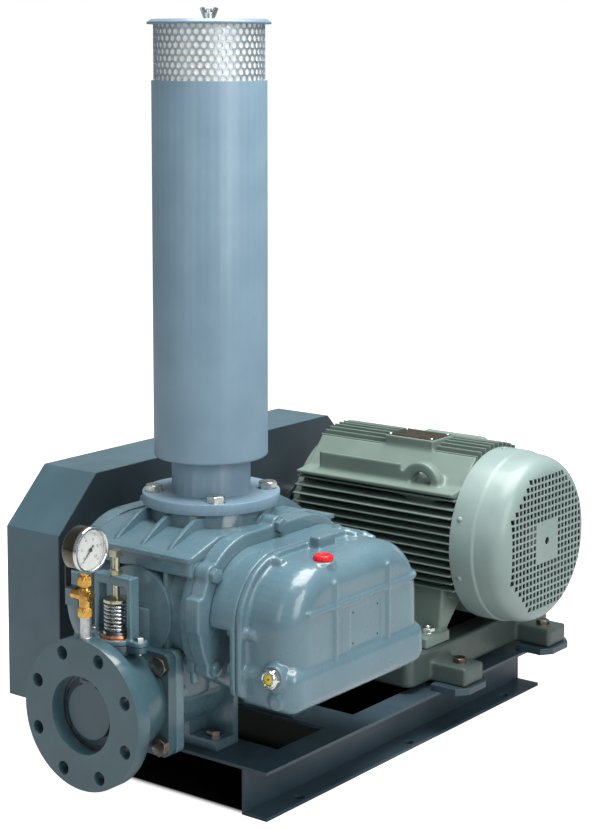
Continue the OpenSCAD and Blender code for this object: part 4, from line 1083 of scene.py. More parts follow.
def make_motor_frame():
    """The finned frame with its shoulders, shelves, lifting eyes, feet and nameplate pad."""
    paint = finish_of(satin_enamel_on_motor)
    home = (MOTOR.x, 0, MOTOR.z)
    bm = bmesh.new()
    lathe(bm, [(FRAME_BORE, -MOTOR_BACK), (FRAME_R, -MOTOR_BACK), (FRAME_R, -MOTOR_FRONT),
               (FRAME_BORE, -MOTOR_FRONT)], 72, closed=True)
    turned(bm, 90, "X")
    for i in range(SIDE_FINS):
        z = (i - (SIDE_FINS - 1) / 2) * SIDE_PITCH
        for side in (-1, 1):
            fin(bm, z, fin_reach(z, COVER_R), side)
    for i in range(TOP_FINS):
        x = (i - (TOP_FINS - 1) / 2) * TOP_PITCH
        fin(bm, x, fin_reach(x, FIN_TOP), 1, upright=True)
    for i in range(LOW_FINS):
        x = (i - (LOW_FINS - 1) / 2) * SIDE_PITCH
        fin(bm, x, FIN_LOW, -1, upright=True)
    frame_mesh = settle("finned_motor_frame", bm, home, degrees=30)

    bm = bmesh.new()
    for side in (-1, 1):
        frame_flank(bm, side)
    lifting_eye(bm, -100, -107, SHOULDER + 12)
    lifting_eye(bm, 100, 51, SHOULDER + 12)
    frame_shelf(bm, -1, -71, 91)
    frame_shelf(bm, 1, -147, 15)
    for angle in CORNERS:
        for near, far in ((MOTOR_FRONT, MOTOR_FRONT + THROUGH_LUG), (MOTOR_BACK - THROUGH_LUG, MOTOR_BACK)):
            start = len(bm.verts)
            box(bm, (92, near, -13), (133, far, 13))
            turned(bm, -angle, "Y", start)
    box(bm, (-58, -97, 100), (2, -5, 146))
    pads = cast(settle("motor_frame_castings", bm, home), grain_mm=2.6, passes=3)
    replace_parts(place(frame_mesh, STATIC, paint), "motor_frame")
    place(pads, STATIC, paint)

    nuts = []
    for angle in [math.radians(a) for a in CORNERS]:
        x, z = MOTOR.x + THROUGH_R * math.cos(angle), MOTOR.z + THROUGH_R * math.sin(angle)
        nuts.append(((x, MOTOR_FRONT + THROUGH_LUG, z), (0, 1, 0), 10))
        nuts.append(((x, MOTOR_BACK - THROUGH_LUG, z), (0, -1, 0), 20))
    nut = hex_bolt(*M10, length=2, washer=1.6, stud=4)
    fastened("through_bolt_nuts", nut, nuts, paint)


def make_nameplate():
    """A bare bronze plate on its pad, held by four small screws."""
    zinc = finish_of(zinc_plated_steel)
    pad_top, plate_top = 146.0, 147.0
    bm = bmesh.new()
    box(bm, (-55, -95, pad_top), (0, -7, plate_top))
    plate = settle("bare_nameplate", bm, (MOTOR.x, 0, MOTOR.z))
    place(plate, STATIC, finish_of(dark_bronze_plate))
    places = [((MOTOR.x + x, y, MOTOR.z + plate_top), (0, 0, 1), 0) for x in (-51, -4) for y in (-91, -11)]
    fastened("nameplate_screws", dome_screw(radius=3.2, height=2.0, length=6), places, zinc)


def grille_tree():
    """Square punches on a grid, without its corners and its middle."""
    tree, given = new_tree("grille_punches", {"Count": "NodeSocketInt", "Pitch": "NodeSocketFloat",
                                              "Hole": "NodeSocketFloat", "Depth": "NodeSocketFloat",
                                              "Blank": "NodeSocketFloat", "Corner": "NodeSocketFloat",
                                              "Finish": "NodeSocketMaterial"})
    last = math_node(tree, "SUBTRACT", given.outputs["Count"], 1)
    width = math_node(tree, "MULTIPLY", last, given.outputs["Pitch"])
    grid = add(tree, "GeometryNodeMeshGrid", {}, {"Size X": width, "Size Y": width,
                                                  "Vertices X": given.outputs["Count"],
                                                  "Vertices Y": given.outputs["Count"]})
    where = add(tree, "GeometryNodeInputPosition")
    split = add(tree, "ShaderNodeSeparateXYZ", {}, {0: where.outputs[0]})
    across = math_node(tree, "ABSOLUTE", split.outputs[0], 0)
    along = math_node(tree, "ABSOLUTE", split.outputs[1], 0)
    far = math_node(tree, "GREATER_THAN", math_node(tree, "ADD", across, along), given.outputs["Corner"])
    near = math_node(tree, "LESS_THAN", math_node(tree, "MAXIMUM", across, along), given.outputs["Blank"])
    out = math_node(tree, "MAXIMUM", far, near)
    kept = add(tree, "GeometryNodeDeleteGeometry", {"domain": "POINT"}, {0: grid.outputs[0], 1: out})
    size = add(tree, "ShaderNodeCombineXYZ", {}, {0: given.outputs["Hole"], 1: given.outputs["Hole"],
                                                  2: given.outputs["Depth"]})
    punch = add(tree, "GeometryNodeMeshCube", {}, {"Size": size.outputs[0]})
    spread = add(tree, "GeometryNodeInstanceOnPoints", {}, {"Points": kept.outputs[0],
                                                            "Instance": punch.outputs[0]})
    close_tree(tree, given, spread.outputs[0])
    return tree


# Fan cover: depth, wall, the radius of its rolled shoulder, and the square holes of its grille
COVER_DEPTH, COVER_WALL, COVER_ROLL = 95.0, 2.0, 29
HOLES_ACROSS, HOLE_PITCH, HOLE_SIDE = 20, 10.6, 7.6

# In pitches of the grille: the blank square in its middle, and where its corners are cut off
GRILLE_BLANK, GRILLE_CORNER = 3, 14.1


def make_fan_cover():
    """Pressed fan cover with its step, its rolled shoulder and the square-hole grille."""
    paint = finish_of(satin_enamel_on_pressed_cover)
    roll_x, roll_y = COVER_R - 34, COVER_DEPTH - COVER_ROLL
    thin = COVER_ROLL - COVER_WALL
    outer = [(0, COVER_DEPTH), (roll_x, COVER_DEPTH)]
    outer += [(roll_x + COVER_ROLL * math.sin(math.radians(a)),
               roll_y + COVER_ROLL * math.cos(math.radians(a))) for a in range(8, 88, 8)]
    outer += [(COVER_R - 4, roll_y - 1), (COVER_R - 2.6, 44), (COVER_R - 2.2, 42), (COVER_R - 0.5, 40.5),
              (COVER_R, 38), (COVER_R, 0)]
    inner = [(COVER_R - COVER_WALL, 0), (COVER_R - COVER_WALL, 38), (COVER_R - 4.4, 42),
             (COVER_R - 6.2, roll_y - 2)]
    inner += [(roll_x + thin * math.sin(math.radians(a)),
               roll_y + thin * math.cos(math.radians(a))) for a in range(80, 7, -8)]
    inner += [(roll_x - 1, COVER_DEPTH - COVER_WALL), (0, COVER_DEPTH - COVER_WALL)]
    bm = bmesh.new()
    lathe(bm, outer + inner, 96)
    turned(bm, 90, "X")
    cover = settle("pressed_fan_cover", bm, (MOTOR.x, MOTOR_FRONT, MOTOR.z), degrees=50)
    punches = mesh_object("grille_punches", bmesh.new())
    grown(punches, grille_tree(), {"Count": HOLES_ACROSS, "Pitch": HOLE_PITCH * MM, "Hole": HOLE_SIDE * MM,
                                   "Depth": 30 * MM, "Blank": GRILLE_BLANK * HOLE_PITCH * MM,
                                   "Corner": GRILLE_CORNER * HOLE_PITCH * MM, "Finish": paint})
    bm = bmesh.new()
    bm.from_mesh(punches.data)
    rod(bm, (0, 0, -0.015), (0, 0, 0.015), 0.006, sides=24)
    home = Matrix.Translation((MOTOR.x * MM, (MOTOR_FRONT - COVER_DEPTH) * MM, MOTOR.z * MM))
    bmesh.ops.transform(bm, matrix=home @ Matrix.Rotation(math.radians(90), 4, "X"), verts=bm.verts)
    bm.to_mesh(punches.data)
    bm.free()
    carve(cover, punches)
    shade_by_angle(cover, 40)
    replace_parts(place(cover, STATIC, paint), "fan_cover")
    places = []
    for angle in (20, 160, 200, 340, 90, 270):
        axis = (math.cos(math.radians(angle)), 0, math.sin(math.radians(angle)))
        spot = (MOTOR.x + axis[0] * COVER_R, MOTOR_FRONT - 14, MOTOR.z + axis[2] * COVER_R)
        places.append((spot, axis, 0))
    screw = dome_screw(radius=4.2, height=2.6, length=8)
    fastened("fan_cover_screws", screw, places, paint)


# Intake screen, spring and gauge

SILENCER = middle("silencer_shell")
SCREEN_FOOT, SCREEN_TOP, SCREEN_R = 993.9, 1092.9, 79.5
SCREEN_ROWS, SCREEN_ROUND, SCREEN_THICK, FIRST_ROW = 9, 46, 1.5, 1017.0
SCREEN_HOLE = 8.3


def screen_cell(pitch, gap, hole, thick):
    """One oblong cell of perforated sheet: front, back and the wall of its round hole, its rim left open."""
    bm = bmesh.new()
    rim = [(-pitch / 2, -gap / 2), (0, -gap / 2), (pitch / 2, -gap / 2),
           (pitch / 2, gap / 2), (0, gap / 2), (-pitch / 2, gap / 2)]
    angles = [math.radians(a) for a in range(0, 360, 18)]
    rounds = [(hole / 2 * math.cos(a), hole / 2 * math.sin(a)) for a in angles]
    holes = []
    for level in (thick, 0.0):
        outer = [bm.verts.new((x, y, level)) for x, y in rim]
        inner = [bm.verts.new((x, y, level)) for x, y in rounds]
        holes.append(inner)
        edges = [bm.edges.new((loop[i], loop[(i + 1) % len(loop)]))
                 for loop in (outer, inner) for i in range(len(loop))]
        made = bmesh.ops.triangle_fill(bm, use_beauty=True, edges=edges)
        for face in [g for g in made["geom"] if isinstance(g, bmesh.types.BMFace)]:
            if face.calc_center_median().xy.length < hole * 0.3:
                bm.faces.remove(face)
    count = len(rounds)
    for i in range(count):
        j = (i + 1) % count
        bm.faces.new((holes[0][i], holes[0][j], holes[1][j], holes[1][i]))
    bmesh.ops.transform(bm, matrix=Matrix.Scale(MM, 4), verts=bm.verts)
    return mesh_object("screen_cell", bm)


def screen_tree():
    """Rows of cells, every other row half a step on, joined into one sheet and rolled into a tube."""
    tree, given = new_tree("perforated_tube", {"Cell": "NodeSocketObject", "Around": "NodeSocketInt",
                                               "Rows": "NodeSocketInt", "Pitch": "NodeSocketFloat",
                                               "Gap": "NodeSocketFloat", "Radius": "NodeSocketFloat",
                                               "Finish": "NodeSocketMaterial"})
    count, rows = given.outputs["Around"], given.outputs["Rows"]
    total = math_node(tree, "MULTIPLY", count, rows)
    line = add(tree, "GeometryNodePoints", {}, {"Count": total})
    index = add(tree, "GeometryNodeInputIndex").outputs[0]
    row = math_node(tree, "FLOOR", math_node(tree, "DIVIDE", math_node(tree, "ADD", index, 0.5), count), 0)
    column = math_node(tree, "SUBTRACT", index, math_node(tree, "MULTIPLY", row, count))
    half = math_node(tree, "MULTIPLY", math_node(tree, "MODULO", row, 2), 0.5)
    x = math_node(tree, "MULTIPLY", math_node(tree, "ADD", column, half), given.outputs["Pitch"])
    y = math_node(tree, "MULTIPLY", row, given.outputs["Gap"])
    spot = add(tree, "ShaderNodeCombineXYZ", {}, {0: x, 1: y})
    moved = add(tree, "GeometryNodeSetPosition", {},
                {"Geometry": line.outputs[0], "Position": spot.outputs[0]})
    cell = add(tree, "GeometryNodeObjectInfo", {"As Instance": True}, {"Object": given.outputs["Cell"]})
    spread = add(tree, "GeometryNodeInstanceOnPoints", {}, {"Points": moved.outputs[0],
                                                            "Instance": cell.outputs["Geometry"]})
    real = add(tree, "GeometryNodeRealizeInstances", {}, {0: spread.outputs[0]})
    where = add(tree, "GeometryNodeInputPosition")
    split = add(tree, "ShaderNodeSeparateXYZ", {}, {0: where.outputs[0]})
    angle = math_node(tree, "DIVIDE", split.outputs[0], given.outputs["Radius"])
    reach = math_node(tree, "ADD", split.outputs[2], given.outputs["Radius"])
    round_x = math_node(tree, "MULTIPLY", reach, math_node(tree, "COSINE", angle, 0))
    round_y = math_node(tree, "MULTIPLY", reach, math_node(tree, "SINE", angle, 0))
    bent = add(tree, "ShaderNodeCombineXYZ", {}, {0: round_x, 1: round_y, 2: split.outputs[1]})
    rolled = add(tree, "GeometryNodeSetPosition", {},
                 {"Geometry": real.outputs[0], "Position": bent.outputs[0]})
    welded = add(tree, "GeometryNodeMergeByDistance", {"Distance": 0.05 * MM},
                 {"Geometry": rolled.outputs[0]})
    close_tree(tree, given, welded.outputs[0])
    return tree


def drawn_to(bm, level, height):
    """Draws the sheet's two open edges at a level down or up to a height, and closes them."""
    near = 0.2 * MM
    rim = [e for e in bm.edges if e.is_boundary and all(abs(v.co.z - level) < near for v in e.verts)]
    made = bmesh.ops.extrude_edge_only(bm, edges=rim)["geom"]
    for vert in [g for g in made if isinstance(g, bmesh.types.BMVert)]:
        vert.co.z = height
    rim = [g for g in made if isinstance(g, bmesh.types.BMEdge) and g.is_boundary]
    bmesh.ops.bridge_loops(bm, edges=rim)


def make_screen():
    """Perforated sheet tube round the filter, with a plain band at its foot."""
    zinc = finish_of(galvanised_sheet)
    inner = SCREEN_R - SCREEN_THICK
    pitch = 2 * math.pi * inner / SCREEN_ROUND
    stretch = 1.006
    gap = pitch * math.sqrt(3) / 2 * stretch
    cell = screen_cell(pitch, gap, SCREEN_HOLE, SCREEN_THICK)
    sheet = mesh_object("perforated_intake_screen", bmesh.new())
    grown(sheet, screen_tree(), {"Cell": cell, "Around": SCREEN_ROUND, "Rows": SCREEN_ROWS,
                                 "Pitch": pitch * MM, "Gap": gap * MM, "Radius": inner * MM,
                                 "Finish": zinc})
    bpy.data.objects.remove(cell)
    bm = bmesh.new()
    bm.from_mesh(sheet.data)
    home = Vector((SILENCER.x, SILENCER.y, FIRST_ROW)) * MM
    bmesh.ops.transform(bm, matrix=Matrix.Translation(home), verts=bm.verts)
    drawn_to(bm, (FIRST_ROW - gap / 2) * MM, SCREEN_FOOT * MM)
    bmesh.ops.bisect_plane(bm, geom=bm.verts[:] + bm.edges[:] + bm.faces[:],
                           plane_co=(0, 0, SCREEN_TOP * MM), plane_no=(0, 0, 1), clear_outer=True)
    bmesh.ops.holes_fill(bm, edges=[e for e in bm.edges if e.is_boundary], sides=0)
    bmesh.ops.recalc_face_normals(bm, faces=bm.faces)
    bm.to_mesh(sheet.data)
    bm.free()
    shade_by_angle(sheet, 30)
    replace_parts(place(sheet, STATIC, zinc), "intake_screen")


# Relief spring: its turns, and its wire in millimetres
SPRING_TURNS, SPRING_WIRE = 7.0, 4.0


def spring_tree():
    """A coil whose first and last turns lie close, swept with a round wire."""
    tree, given = new_tree("coil_spring", {"Turns": "NodeSocketFloat", "Radius": "NodeSocketFloat",
                                           "Wire": "NodeSocketFloat", "Length": "NodeSocketFloat",
                                           "Finish": "NodeSocketMaterial"})
    coil = add(tree, "GeometryNodeCurveSpiral", {}, {"Rotations": given.outputs["Turns"],
                                                     "Start Radius": given.outputs["Radius"],
                                                     "End Radius": given.outputs["Radius"]})
    coil.inputs["Resolution"].default_value = 40
    coil.inputs["Height"].default_value = 0.01
    share = add(tree, "GeometryNodeSplineParameter").outputs["Factor"]
    turn = math_node(tree, "DIVIDE", 1.0, given.outputs["Turns"])
    closed = math_node(tree, "MULTIPLY", given.outputs["Wire"], 3)
    free = math_node(tree, "SUBTRACT", given.outputs["Length"], closed)
    first = add(tree, "ShaderNodeMapRange", {"From Min": 0.0, "To Min": 0.0},
                {"Value": share, "From Max": turn, "To Max": given.outputs["Wire"]})
    last_from = math_node(tree, "SUBTRACT", 1.0, turn)
    last = add(tree, "ShaderNodeMapRange", {"From Max": 1.0, "To Min": 0.0},
               {"Value": share, "From Min": last_from, "To Max": given.outputs["Wire"]})
    between = add(tree, "ShaderNodeMapRange", {"To Min": 0.0},
                  {"Value": share, "From Min": turn, "From Max": last_from, "To Max": free})
    rest = math_node(tree, "ADD", last.outputs[0], between.outputs[0])
    height = math_node(tree, "ADD", first.outputs[0], rest)
    where = add(tree, "GeometryNodeInputPosition")
    split = add(tree, "ShaderNodeSeparateXYZ", {}, {0: where.outputs[0]})
    spot = add(tree, "ShaderNodeCombineXYZ", {}, {0: split.outputs[0], 1: split.outputs[1], 2: height})
    moved = add(tree, "GeometryNodeSetPosition", {},
                {"Geometry": coil.outputs[0], "Position": spot.outputs[0]})
    wire = add(tree, "GeometryNodeCurvePrimitiveCircle")
    wire.inputs["Resolution"].default_value = 14
    tree.links.new(math_node(tree, "DIVIDE", given.outputs["Wire"], 2), wire.inputs["Radius"])
    swept = add(tree, "GeometryNodeCurveToMesh", {"Fill Caps": True}, {"Curve": moved.outputs[0],
                                                                      "Profile Curve": wire.outputs[0]})
    close_tree(tree, given, swept.outputs[0])
    return tree


def make_spring():
    """The relief spring as one smooth coil with closed ends."""
    low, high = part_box("relief_spring")
    steel = finish_of(bright_spring_wire)
    coil = mesh_object("relief_spring_coil", bmesh.new())
    length = (high.z - low.z) / MM
    radius = (high.x - low.x) / 2 / MM - SPRING_WIRE / 2
    grown(coil, spring_tree(), {"Turns": SPRING_TURNS, "Radius": radius * MM, "Wire": SPRING_WIRE * MM,
                                "Length": length * MM, "Finish": steel})
    at = middle("relief_spring")
    clear = 0.0001
    bm = bmesh.new()
    bm.from_mesh(coil.data)
    lowest = min(v.co.z for v in bm.verts)
    tallest = max(v.co.z for v in bm.verts) - lowest
    fit = (length * MM - 2 * clear) / tallest
    for vert in bm.verts:
        vert.co.z = (vert.co.z - lowest) * fit + clear
    home = Matrix.Translation((at.x * MM, at.y * MM, low.z))
    bmesh.ops.transform(bm, matrix=home, verts=bm.verts)
    bmesh.ops.recalc_face_normals(bm, faces=bm.faces)
    bm.to_mesh(coil.data)
    bm.free()
    shade_by_angle(coil, 50)
    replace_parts(place(coil, STATIC, steel), "relief_spring")
    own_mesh(coil)


# Gauge: its dial's face, the scale's start and sweep and its marks, and the needle at zero
DIAL = middle("gauge_dial")
DIAL_FACE = -8.5
SCALE_FROM, SCALE_SWEEP = 225.0, 270.0
SCALE_MARKS, SCALE_NUMBERS = 50, ("0", "2", "4", "6", "8", "10")
NEEDLE_REST = 225.0


def dial_mark(bm, angle, inner, outer, half):
    """One upright bar of the scale, on the dial's face."""
    start = len(bm.verts)
    box(bm, (inner, DIAL_FACE - 0.08, -half), (outer, DIAL_FACE + 0.02, half))
    turned(bm, -angle, "Y", start)


def dial_number(text, angle, radius, height):
    """One printed number of the scale, as a thin plain mesh."""
    curve = bpy.data.curves.new("number", "FONT")
    curve.body = text
    curve.size = height * MM
    curve.align_x, curve.align_y = "CENTER", "CENTER"
    curve.extrude = 0.00004
    letter = bpy.data.objects.new("number", curve)
    bpy.context.scene.collection.objects.link(letter)
    graph = bpy.context.evaluated_depsgraph_get()
    mesh = bpy.data.meshes.new_from_object(letter.evaluated_get(graph))
    bpy.data.objects.remove(letter)
    x, z = radius * math.cos(math.radians(angle)), radius * math.sin(math.radians(angle))
    home = Vector((DIAL.x + x, DIAL_FACE - 0.04, DIAL.z + z)) * MM
    mesh.transform(Matrix.Translation(home) @ Matrix.Rotation(math.radians(90), 4, "X"))
    return mesh


def make_gauge():
    """Case, bezel, scale, numbers and needle of the pressure gauge."""
    black, chrome, ink = finish_of(black_chrome_plate), finish_of(chrome_plate), finish_of(dial_ink)
    home = (DIAL.x, 0, DIAL.z)
    bm = bmesh.new()
    lathe(bm, [(0, -14.5), (28, -14.5), (30, -13.6), (31, -12), (31, 8.6), (27.5, 8.6), (27.5, 6.2),
               (0, 6.2)], 96)
    turned(bm, 90, "X")
    case = settle("gauge_case_shell", bm, home)
    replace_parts(place(case, STATIC, black), "gauge_case")
    bm = bmesh.new()
    lathe(bm, [(27.7, 8.7), (32.2, 8.7), (32.5, 9.4), (32.5, 13.2), (31.6, 14.3), (30.2, 14.5), (28.6, 13.9),
               (27.7, 12.8)], 96, closed=True)
    turned(bm, 90, "X")
    bezel = settle("gauge_bezel", bm, home)
    place(bezel, STATIC, chrome)

    bm = bmesh.new()
    for i in range(SCALE_MARKS + 1):
        angle = SCALE_FROM - SCALE_SWEEP * i / SCALE_MARKS
        major = i % 10 == 0
        dial_mark(bm, angle, 19.5 if major else 22.0, 25.0, 0.42 if major else 0.18)
    ticks = settle("gauge_scale", bm, home)
    bm = bmesh.new()
    bm.from_mesh(ticks.data)
    for i, text in enumerate(SCALE_NUMBERS):
        mesh = dial_number(text, SCALE_FROM - SCALE_SWEEP * i / (len(SCALE_NUMBERS) - 1), 15.2, 6.0)
        bm.from_mesh(mesh)
        bpy.data.meshes.remove(mesh)
    bm.to_mesh(ticks.data)
    bm.free()
    place(ticks, STATIC, ink)

    bm = bmesh.new()
    outline = [(-8, -1.3), (-7, -1.6), (-2.5, -0.7), (0, -1.4), (21, -0.25), (21.8, 0), (21, 0.25), (0, 1.4),
               (-2.5, 0.7), (-7, 1.6), (-8, 1.3)]
    prism(bm, outline, -10.6, -10.1)
    rod(bm, (0, -11.2, 0), (0, -9.2, 0), 2.6, sides=28)
    turned(bm, -NEEDLE_REST, "Y")
    needle = settle("gauge_pointer_needle", bm, home)
    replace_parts(place(needle, "gauge_pointer", ink), "gauge_needle")


# The cock: from the middle of the lever's box down to its pivot, and the width of its hexagons
LEVER_HALF = 18.5
COCK_FLATS = 19.2


def make_cock():
    """Brass cock: hexagon union nut above, round body with the plug's boss, hexagon below."""
    low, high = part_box("gauge_cock")
    brass = finish_of(bare_brass)
    at = middle("gauge_case")
    foot, top = low.z / MM, high.z / MM
    plug = middle("cock_lever").z - LEVER_HALF
    bm = bmesh.new()
    lathe(bm, [(0, foot + 40), (8.6, foot + 40), (8.8, plug - 8), (8.8, plug + 8), (7.6, plug + 11),
               (6.2, plug + 12), (6.2, top - 16), (0, top - 16)], 48)
    lathe(bm, [(0, top - 20), (9.6, top - 20), (11.0, top - 18.5), (11.0, top - 8), (9.6, top - 6.5),
               (7.0, top - 6.5), (7.0, top), (0, top)], 48, COCK_FLATS)
    lathe(bm, [(0, foot + 33), (9.8, foot + 33), (11.0, foot + 34.2), (11.0, foot + 45), (9.8, foot + 46.2),
               (0, foot + 46.2)], 48, COCK_FLATS)
    rod(bm, (0, -10.4, plug), (0, 21.5, plug), 7.6, sides=36)
    rod(bm, (0, -11, plug), (0, -10.2, plug), 5.2, sides=36)
    cock = settle("brass_gauge_cock", bm, (at.x, 0, 0), degrees=30)
    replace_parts(place(cock, STATIC, brass), "gauge_cock")
    bm = bmesh.new()
    lathe(bm, [(0, foot), (8.4, foot), (8.4, foot + 4), (7.6, foot + 5), (7.4, foot + 30), (8.0, foot + 31),
               (8.0, foot + 33.4), (0, foot + 33.4)], 40)
    nipple = settle("silver_gauge_nipple", bm, (at.x, 0, 0))
    place(nipple, STATIC, finish_of(silver_paint_on_nipple))


# Terminal box, casing roof and weld

def scaled(outline, grow):
    """An outline pushed out from its middle by a distance."""
    cy = sum(p[0] for p in outline) / len(outline)
    cz = sum(p[1] for p in outline) / len(outline)
    return [(y + (grow if y > cy else -grow), z + (grow if z > cz else -grow)) for y, z in outline]


def make_terminal_box():
    """Cast box with round corners, a proud lid and four lid screws."""
    low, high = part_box("terminal_box")
    low, high = low / MM, high / MM
    paint, zinc = finish_of(satin_enamel_on_terminal_box), finish_of(zinc_plated_steel)
    corner, inset = 12.0, 12
    left, right, foot, top = low.y + corner, high.y - corner, low.z + corner, high.z - corner
    outline = []
    for y, z, first in ((right, top, 0), (left, top, 90), (left, foot, 180), (right, foot, 270)):
        outline += arc((y, z), corner, first, first + 90, 8)
    bm = bmesh.new()
    for near, far, grow in ((low.x, high.x - 14, -2.0), (high.x - 13.4, high.x, 0.0)):
        prism(bm, scaled(outline, grow), near, far)
    for vert in bm.verts:
        vert.co = Vector((vert.co.y, vert.co.x, vert.co.z))
    body = settle("terminal_box_casting", bm)
    bevel = body.modifiers.new("bevel", "BEVEL")
    bevel.width = 3 * MM
    bevel.segments = 3
    bevel.limit_method = "ANGLE"
    baked(body)
    shade_by_angle(body, 40)
    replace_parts(place(body, STATIC, paint), "terminal_box")
    places = [((high.x, y, z), (1, 0, 0), 0)
              for y in (low.y + inset, high.y - inset) for z in (low.z + inset, high.z - inset)]
    screw = dome_screw(radius=4.5, height=2.6, length=8)
    fastened("terminal_box_screws", screw, places, zinc)


def make_roof_and_throat():
    """The casing's cast roof with its sloping shoulders, and the round throat behind the discharge port."""
    enamel = finish_of(gloss_enamel_on_cast_iron)
    half_casing, throat_x, throat_r = 98.5, -102, 66
    roof = [(-161, 60), (-161, 86), (-157, 89), (-100, 107), (100, 107), (157, 89), (161, 86), (161, 60)]
    bm = bmesh.new()
    prism(bm, roof, -half_casing, half_casing)
    rod(bm, (throat_x, 0, -124), (throat_x, 0, 6), throat_r, sides=64)
    rod(bm, (throat_x, 0, 4), (-70, 0, 78), throat_r, 30, 64)
    for y in (4 - half_casing, half_casing - 4):
        rod(bm, (-150, y, -90), (-150, y, 70), 6)
    piece = cast(settle("casing_roof_and_throat", bm, BLOWER), grain_mm=2.4, passes=4)
    place(piece, STATIC, enamel)


def weld_bead(name, centre, radius, height, thick, finish):
    """A weld bead round a pipe, its ripples laid one after another."""
    bm = bmesh.new()
    around, section = 300, 8
    rings = []
    for i in range(around):
        a = 2 * math.pi * i / around
        swell = 1 + 0.10 * math.sin(60 * a) + 0.05 * math.sin(17 * a + 1)
        ring = []
        for k in range(section):
            b = 2 * math.pi * k / section
            reach = radius + thick * swell * math.cos(b)
            rise = height + thick * swell * math.sin(b)
            ring.append(bm.verts.new((reach * math.cos(a), reach * math.sin(a), rise)))
        rings.append(ring)
    for i in range(around):
        here, there = rings[i], rings[(i + 1) % around]
        for k in range(section):
            n = (k + 1) % section
            bm.faces.new((here[k], there[k], there[n], here[n]))
    bead = settle(name, bm, (centre.x, centre.y, 0), degrees=60)
    place(bead, STATIC, finish)


def make_welds():
    """The bead round the neck at the silencer's foot."""
    paint = finish_of(gloss_enamel_on_pipe)
    low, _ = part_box("silencer_shell")
    weld_bead("silencer_foot_weld", SILENCER, radius=60.5, height=low.z / MM - 0.6, thick=2.6,
              finish=paint)


# The CAD castings that are melted as they are: the grain in millimetres, the passes, the slot and the finish
MELTED = {
    "relief_yoke": (1.3, 8, "blower_paint", gloss_enamel_on_cast_iron),
    "motor_bed": (2.7, 5, "bed_paint", enamel_on_cast_bed),
    "front_side_plate": (2.1, 4, "blower_paint", gloss_enamel_on_cast_iron)}


def make_castings():
    """Rounds the corners of the castings whose form in the CAD is right but too sharp."""
    for node, (grain, passes, slot, maker) in MELTED.items():
        bm = bmesh.new()
        bm.from_mesh(NODES[node].data)
        bmesh.ops.remove_doubles(bm, verts=bm.verts, dist=WELD)
        soft = cast(mesh_object(node + "_casting", bm), grain, passes)
        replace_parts(place(soft, STATIC, finish_of(maker)), node)


def make_ring_ears():
    """The two eyes of the retaining ring, low on its right."""
    low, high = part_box("seat_retaining_ring")
    at = middle("seat_retaining_ring")
    ring_r = 48
    bm = bmesh.new()
    for angle in (-52, -38):
        y, z = -ring_r * math.cos(math.radians(angle)), ring_r * math.sin(math.radians(angle))
        rod(bm, (low.x / MM - 0.1, y, z), (high.x / MM, y, z), 4.2, sides=24)
        rod(bm, (low.x / MM - 0.6, y, z), (low.x / MM, y, z), 1.6, sides=16)
    ears = settle("retaining_ring_eyes", bm, (0, at.y, at.z))
    place(ears, STATIC, finish_of(dark_steel))


# Floor, lights and camera

# How brightly the paper shines to the camera alone, so that it stays white to its far edge
FLOOR_GLOW = 0.92


def make_floor():
    """White paper: pure white to the camera, and dark only where the base stands on it, as a painted shadow.
    """
    bm = bmesh.new()
    bmesh.ops.create_grid(bm, x_segments=1, y_segments=1, size=40.0)
    floor = mesh_object("studio_floor", bm)
    made, tree, coords, output = new_material()
    made.name = "matt_white_paper"
    low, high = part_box("base_beams")
    split = add(tree, "ShaderNodeSeparateXYZ", {}, {0: coords})
    # Mask of the painted shadow: 1 inside the base's footprint, falling to 0 over its last 12 mm
    inside = 1.0
    for axis in (0, 1):
        middle_line, half = (low[axis] + high[axis]) / 2, (high[axis] - low[axis]) / 2
        off = math_node(tree, "ABSOLUTE", math_node(tree, "SUBTRACT", split.outputs[axis], middle_line), 0)
        near = add(tree, "ShaderNodeMapRange", {"From Min": half - 0.012, "From Max": half, "To Min": 1.0,
                                                "To Max": 0.0}, {"Value": off})
        inside = math_node(tree, "MULTIPLY", near.outputs["Result"], inside)
    # Painted shadow: the paper's colour turns near-black (#101211) inside the base's footprint
    shade = add(tree, "ShaderNodeMix", {"data_type": "RGBA", 7: linear("#101211")},
                {0: inside, 6: blotches(tree, coords, 2000, "#c4c4c4", "#c0c0c0")})
    paper = add(tree, "ShaderNodeBsdfPrincipled", {"Roughness": 0.9, "Specular IOR Level": 0.0},
                {"Base Color": shade.outputs[2]})
    # The glow is left out inside the painted shadow
    outside = math_node(tree, "SUBTRACT", 1.0, inside)
    glow = add(tree, "ShaderNodeEmission", {},
               {"Strength": math_node(tree, "MULTIPLY", outside, FLOOR_GLOW)})
    both = add(tree, "ShaderNodeAddShader", {}, {0: paper.outputs[0], 1: glow.outputs[0]})
    path = add(tree, "ShaderNodeLightPath")
    mix = add(tree, "ShaderNodeMixShader", {}, {0: path.outputs["Is Camera Ray"], 1: paper.outputs[0],
                                                2: both.outputs[0]})
    tree.links.new(mix.outputs[0], output.inputs["Surface"])
    floor.data.materials.append(made)


def make_world():
    """White studio surroundings: bright where the camera looks, dimmer as a source of light."""
    world = bpy.data.worlds.new("studio")
    world.use_nodes = True
    tree = world.node_tree
    tree.nodes.clear()
    seen = add(tree, "ShaderNodeBackground", {"Color": (1, 1, 1, 1), "Strength": 1.0})
    light = add(tree, "ShaderNodeBackground", {"Color": (0.93, 0.97, 1, 1), "Strength": 0.27})
    path = add(tree, "ShaderNodeLightPath")
    mix = add(tree, "ShaderNodeMixShader", {}, {0: path.outputs["Is Camera Ray"], 1: light.outputs[0],
                                                2: seen.outputs[0]})
    add(tree, "ShaderNodeOutputWorld", {}, {"Surface": mix.outputs[0]})
    bpy.context.scene.world = world


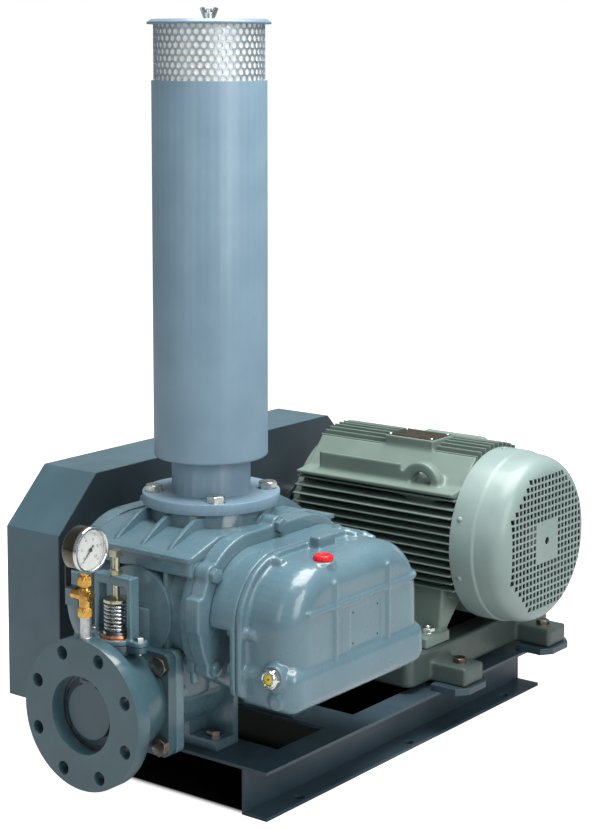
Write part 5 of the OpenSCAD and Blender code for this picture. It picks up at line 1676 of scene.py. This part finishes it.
def softbox(name, place_at, aim, width, height, watts):
    """A rectangular soft light, aimed at a point."""
    light = bpy.data.lights.new(name, "AREA")
    light.shape = "RECTANGLE"
    light.size, light.size_y = width, height
    light.energy = watts
    obj = bpy.data.objects.new(name, light)
    obj.location = place_at
    obj.rotation_mode = "QUATERNION"
    obj.rotation_quaternion = (Vector(aim) - Vector(place_at)).to_track_quat("-Z", "Y")
    bpy.context.scene.collection.objects.link(obj)


def make_lights():
    """A wide overhead light, a front softbox to the right of the camera and another to its left."""
    aim = (-0.1, 0, 0.45)
    softbox("overhead", (0.2, -0.4, 3.4), aim, 2.6, 2.6, 215)
    softbox("front_right", (-1.5, -3.3, 1.9), aim, 1.5, 2.2, 50)
    softbox("front_left", (-3.4, 0.2, 1.7), aim, 1.0, 1.8, 10)
    softbox("strip", (-0.6, -3.0, 2.4), aim, 0.35, 1.4, 14)


# The photograph's view, fitted to the flanges, the silencer and the base
CAMERA_PLACE = (-2.374, -1.7859, 1.0578)
CAMERA_TILT = 5.8912
CAMERA_TURN = 52.3317
FOCAL_PIXELS = 1937.57
LONG_SIDE_PIXELS = 830
SENSOR_MM = 36.0
SHIFT_DOWN = 0.2


def make_camera():
    """The camera stands where the photograph was taken from."""
    data = bpy.data.cameras.new("camera")
    data.sensor_width = SENSOR_MM
    data.lens = FOCAL_PIXELS / LONG_SIDE_PIXELS * SENSOR_MM
    data.shift_y = -SHIFT_DOWN
    camera = bpy.data.objects.new("camera", data)
    camera.location = CAMERA_PLACE
    camera.rotation_euler = (math.radians(90 - CAMERA_TILT), 0, -math.radians(CAMERA_TURN))
    bpy.context.scene.collection.objects.link(camera)
    bpy.context.scene.camera = camera


make_camera()
make_world()
make_lights()
make_floor()
dress_frame()
round_edges()
make_castings()
make_bolts()
make_gear_case()
make_motor_frame()
make_nameplate()
make_fan_cover()
make_screen()
make_spring()
make_ring_ears()
make_gauge()
make_cock()
make_terminal_box()
make_roof_and_throat()
make_welds()
bpy.context.scene.view_settings.view_transform = "Standard"
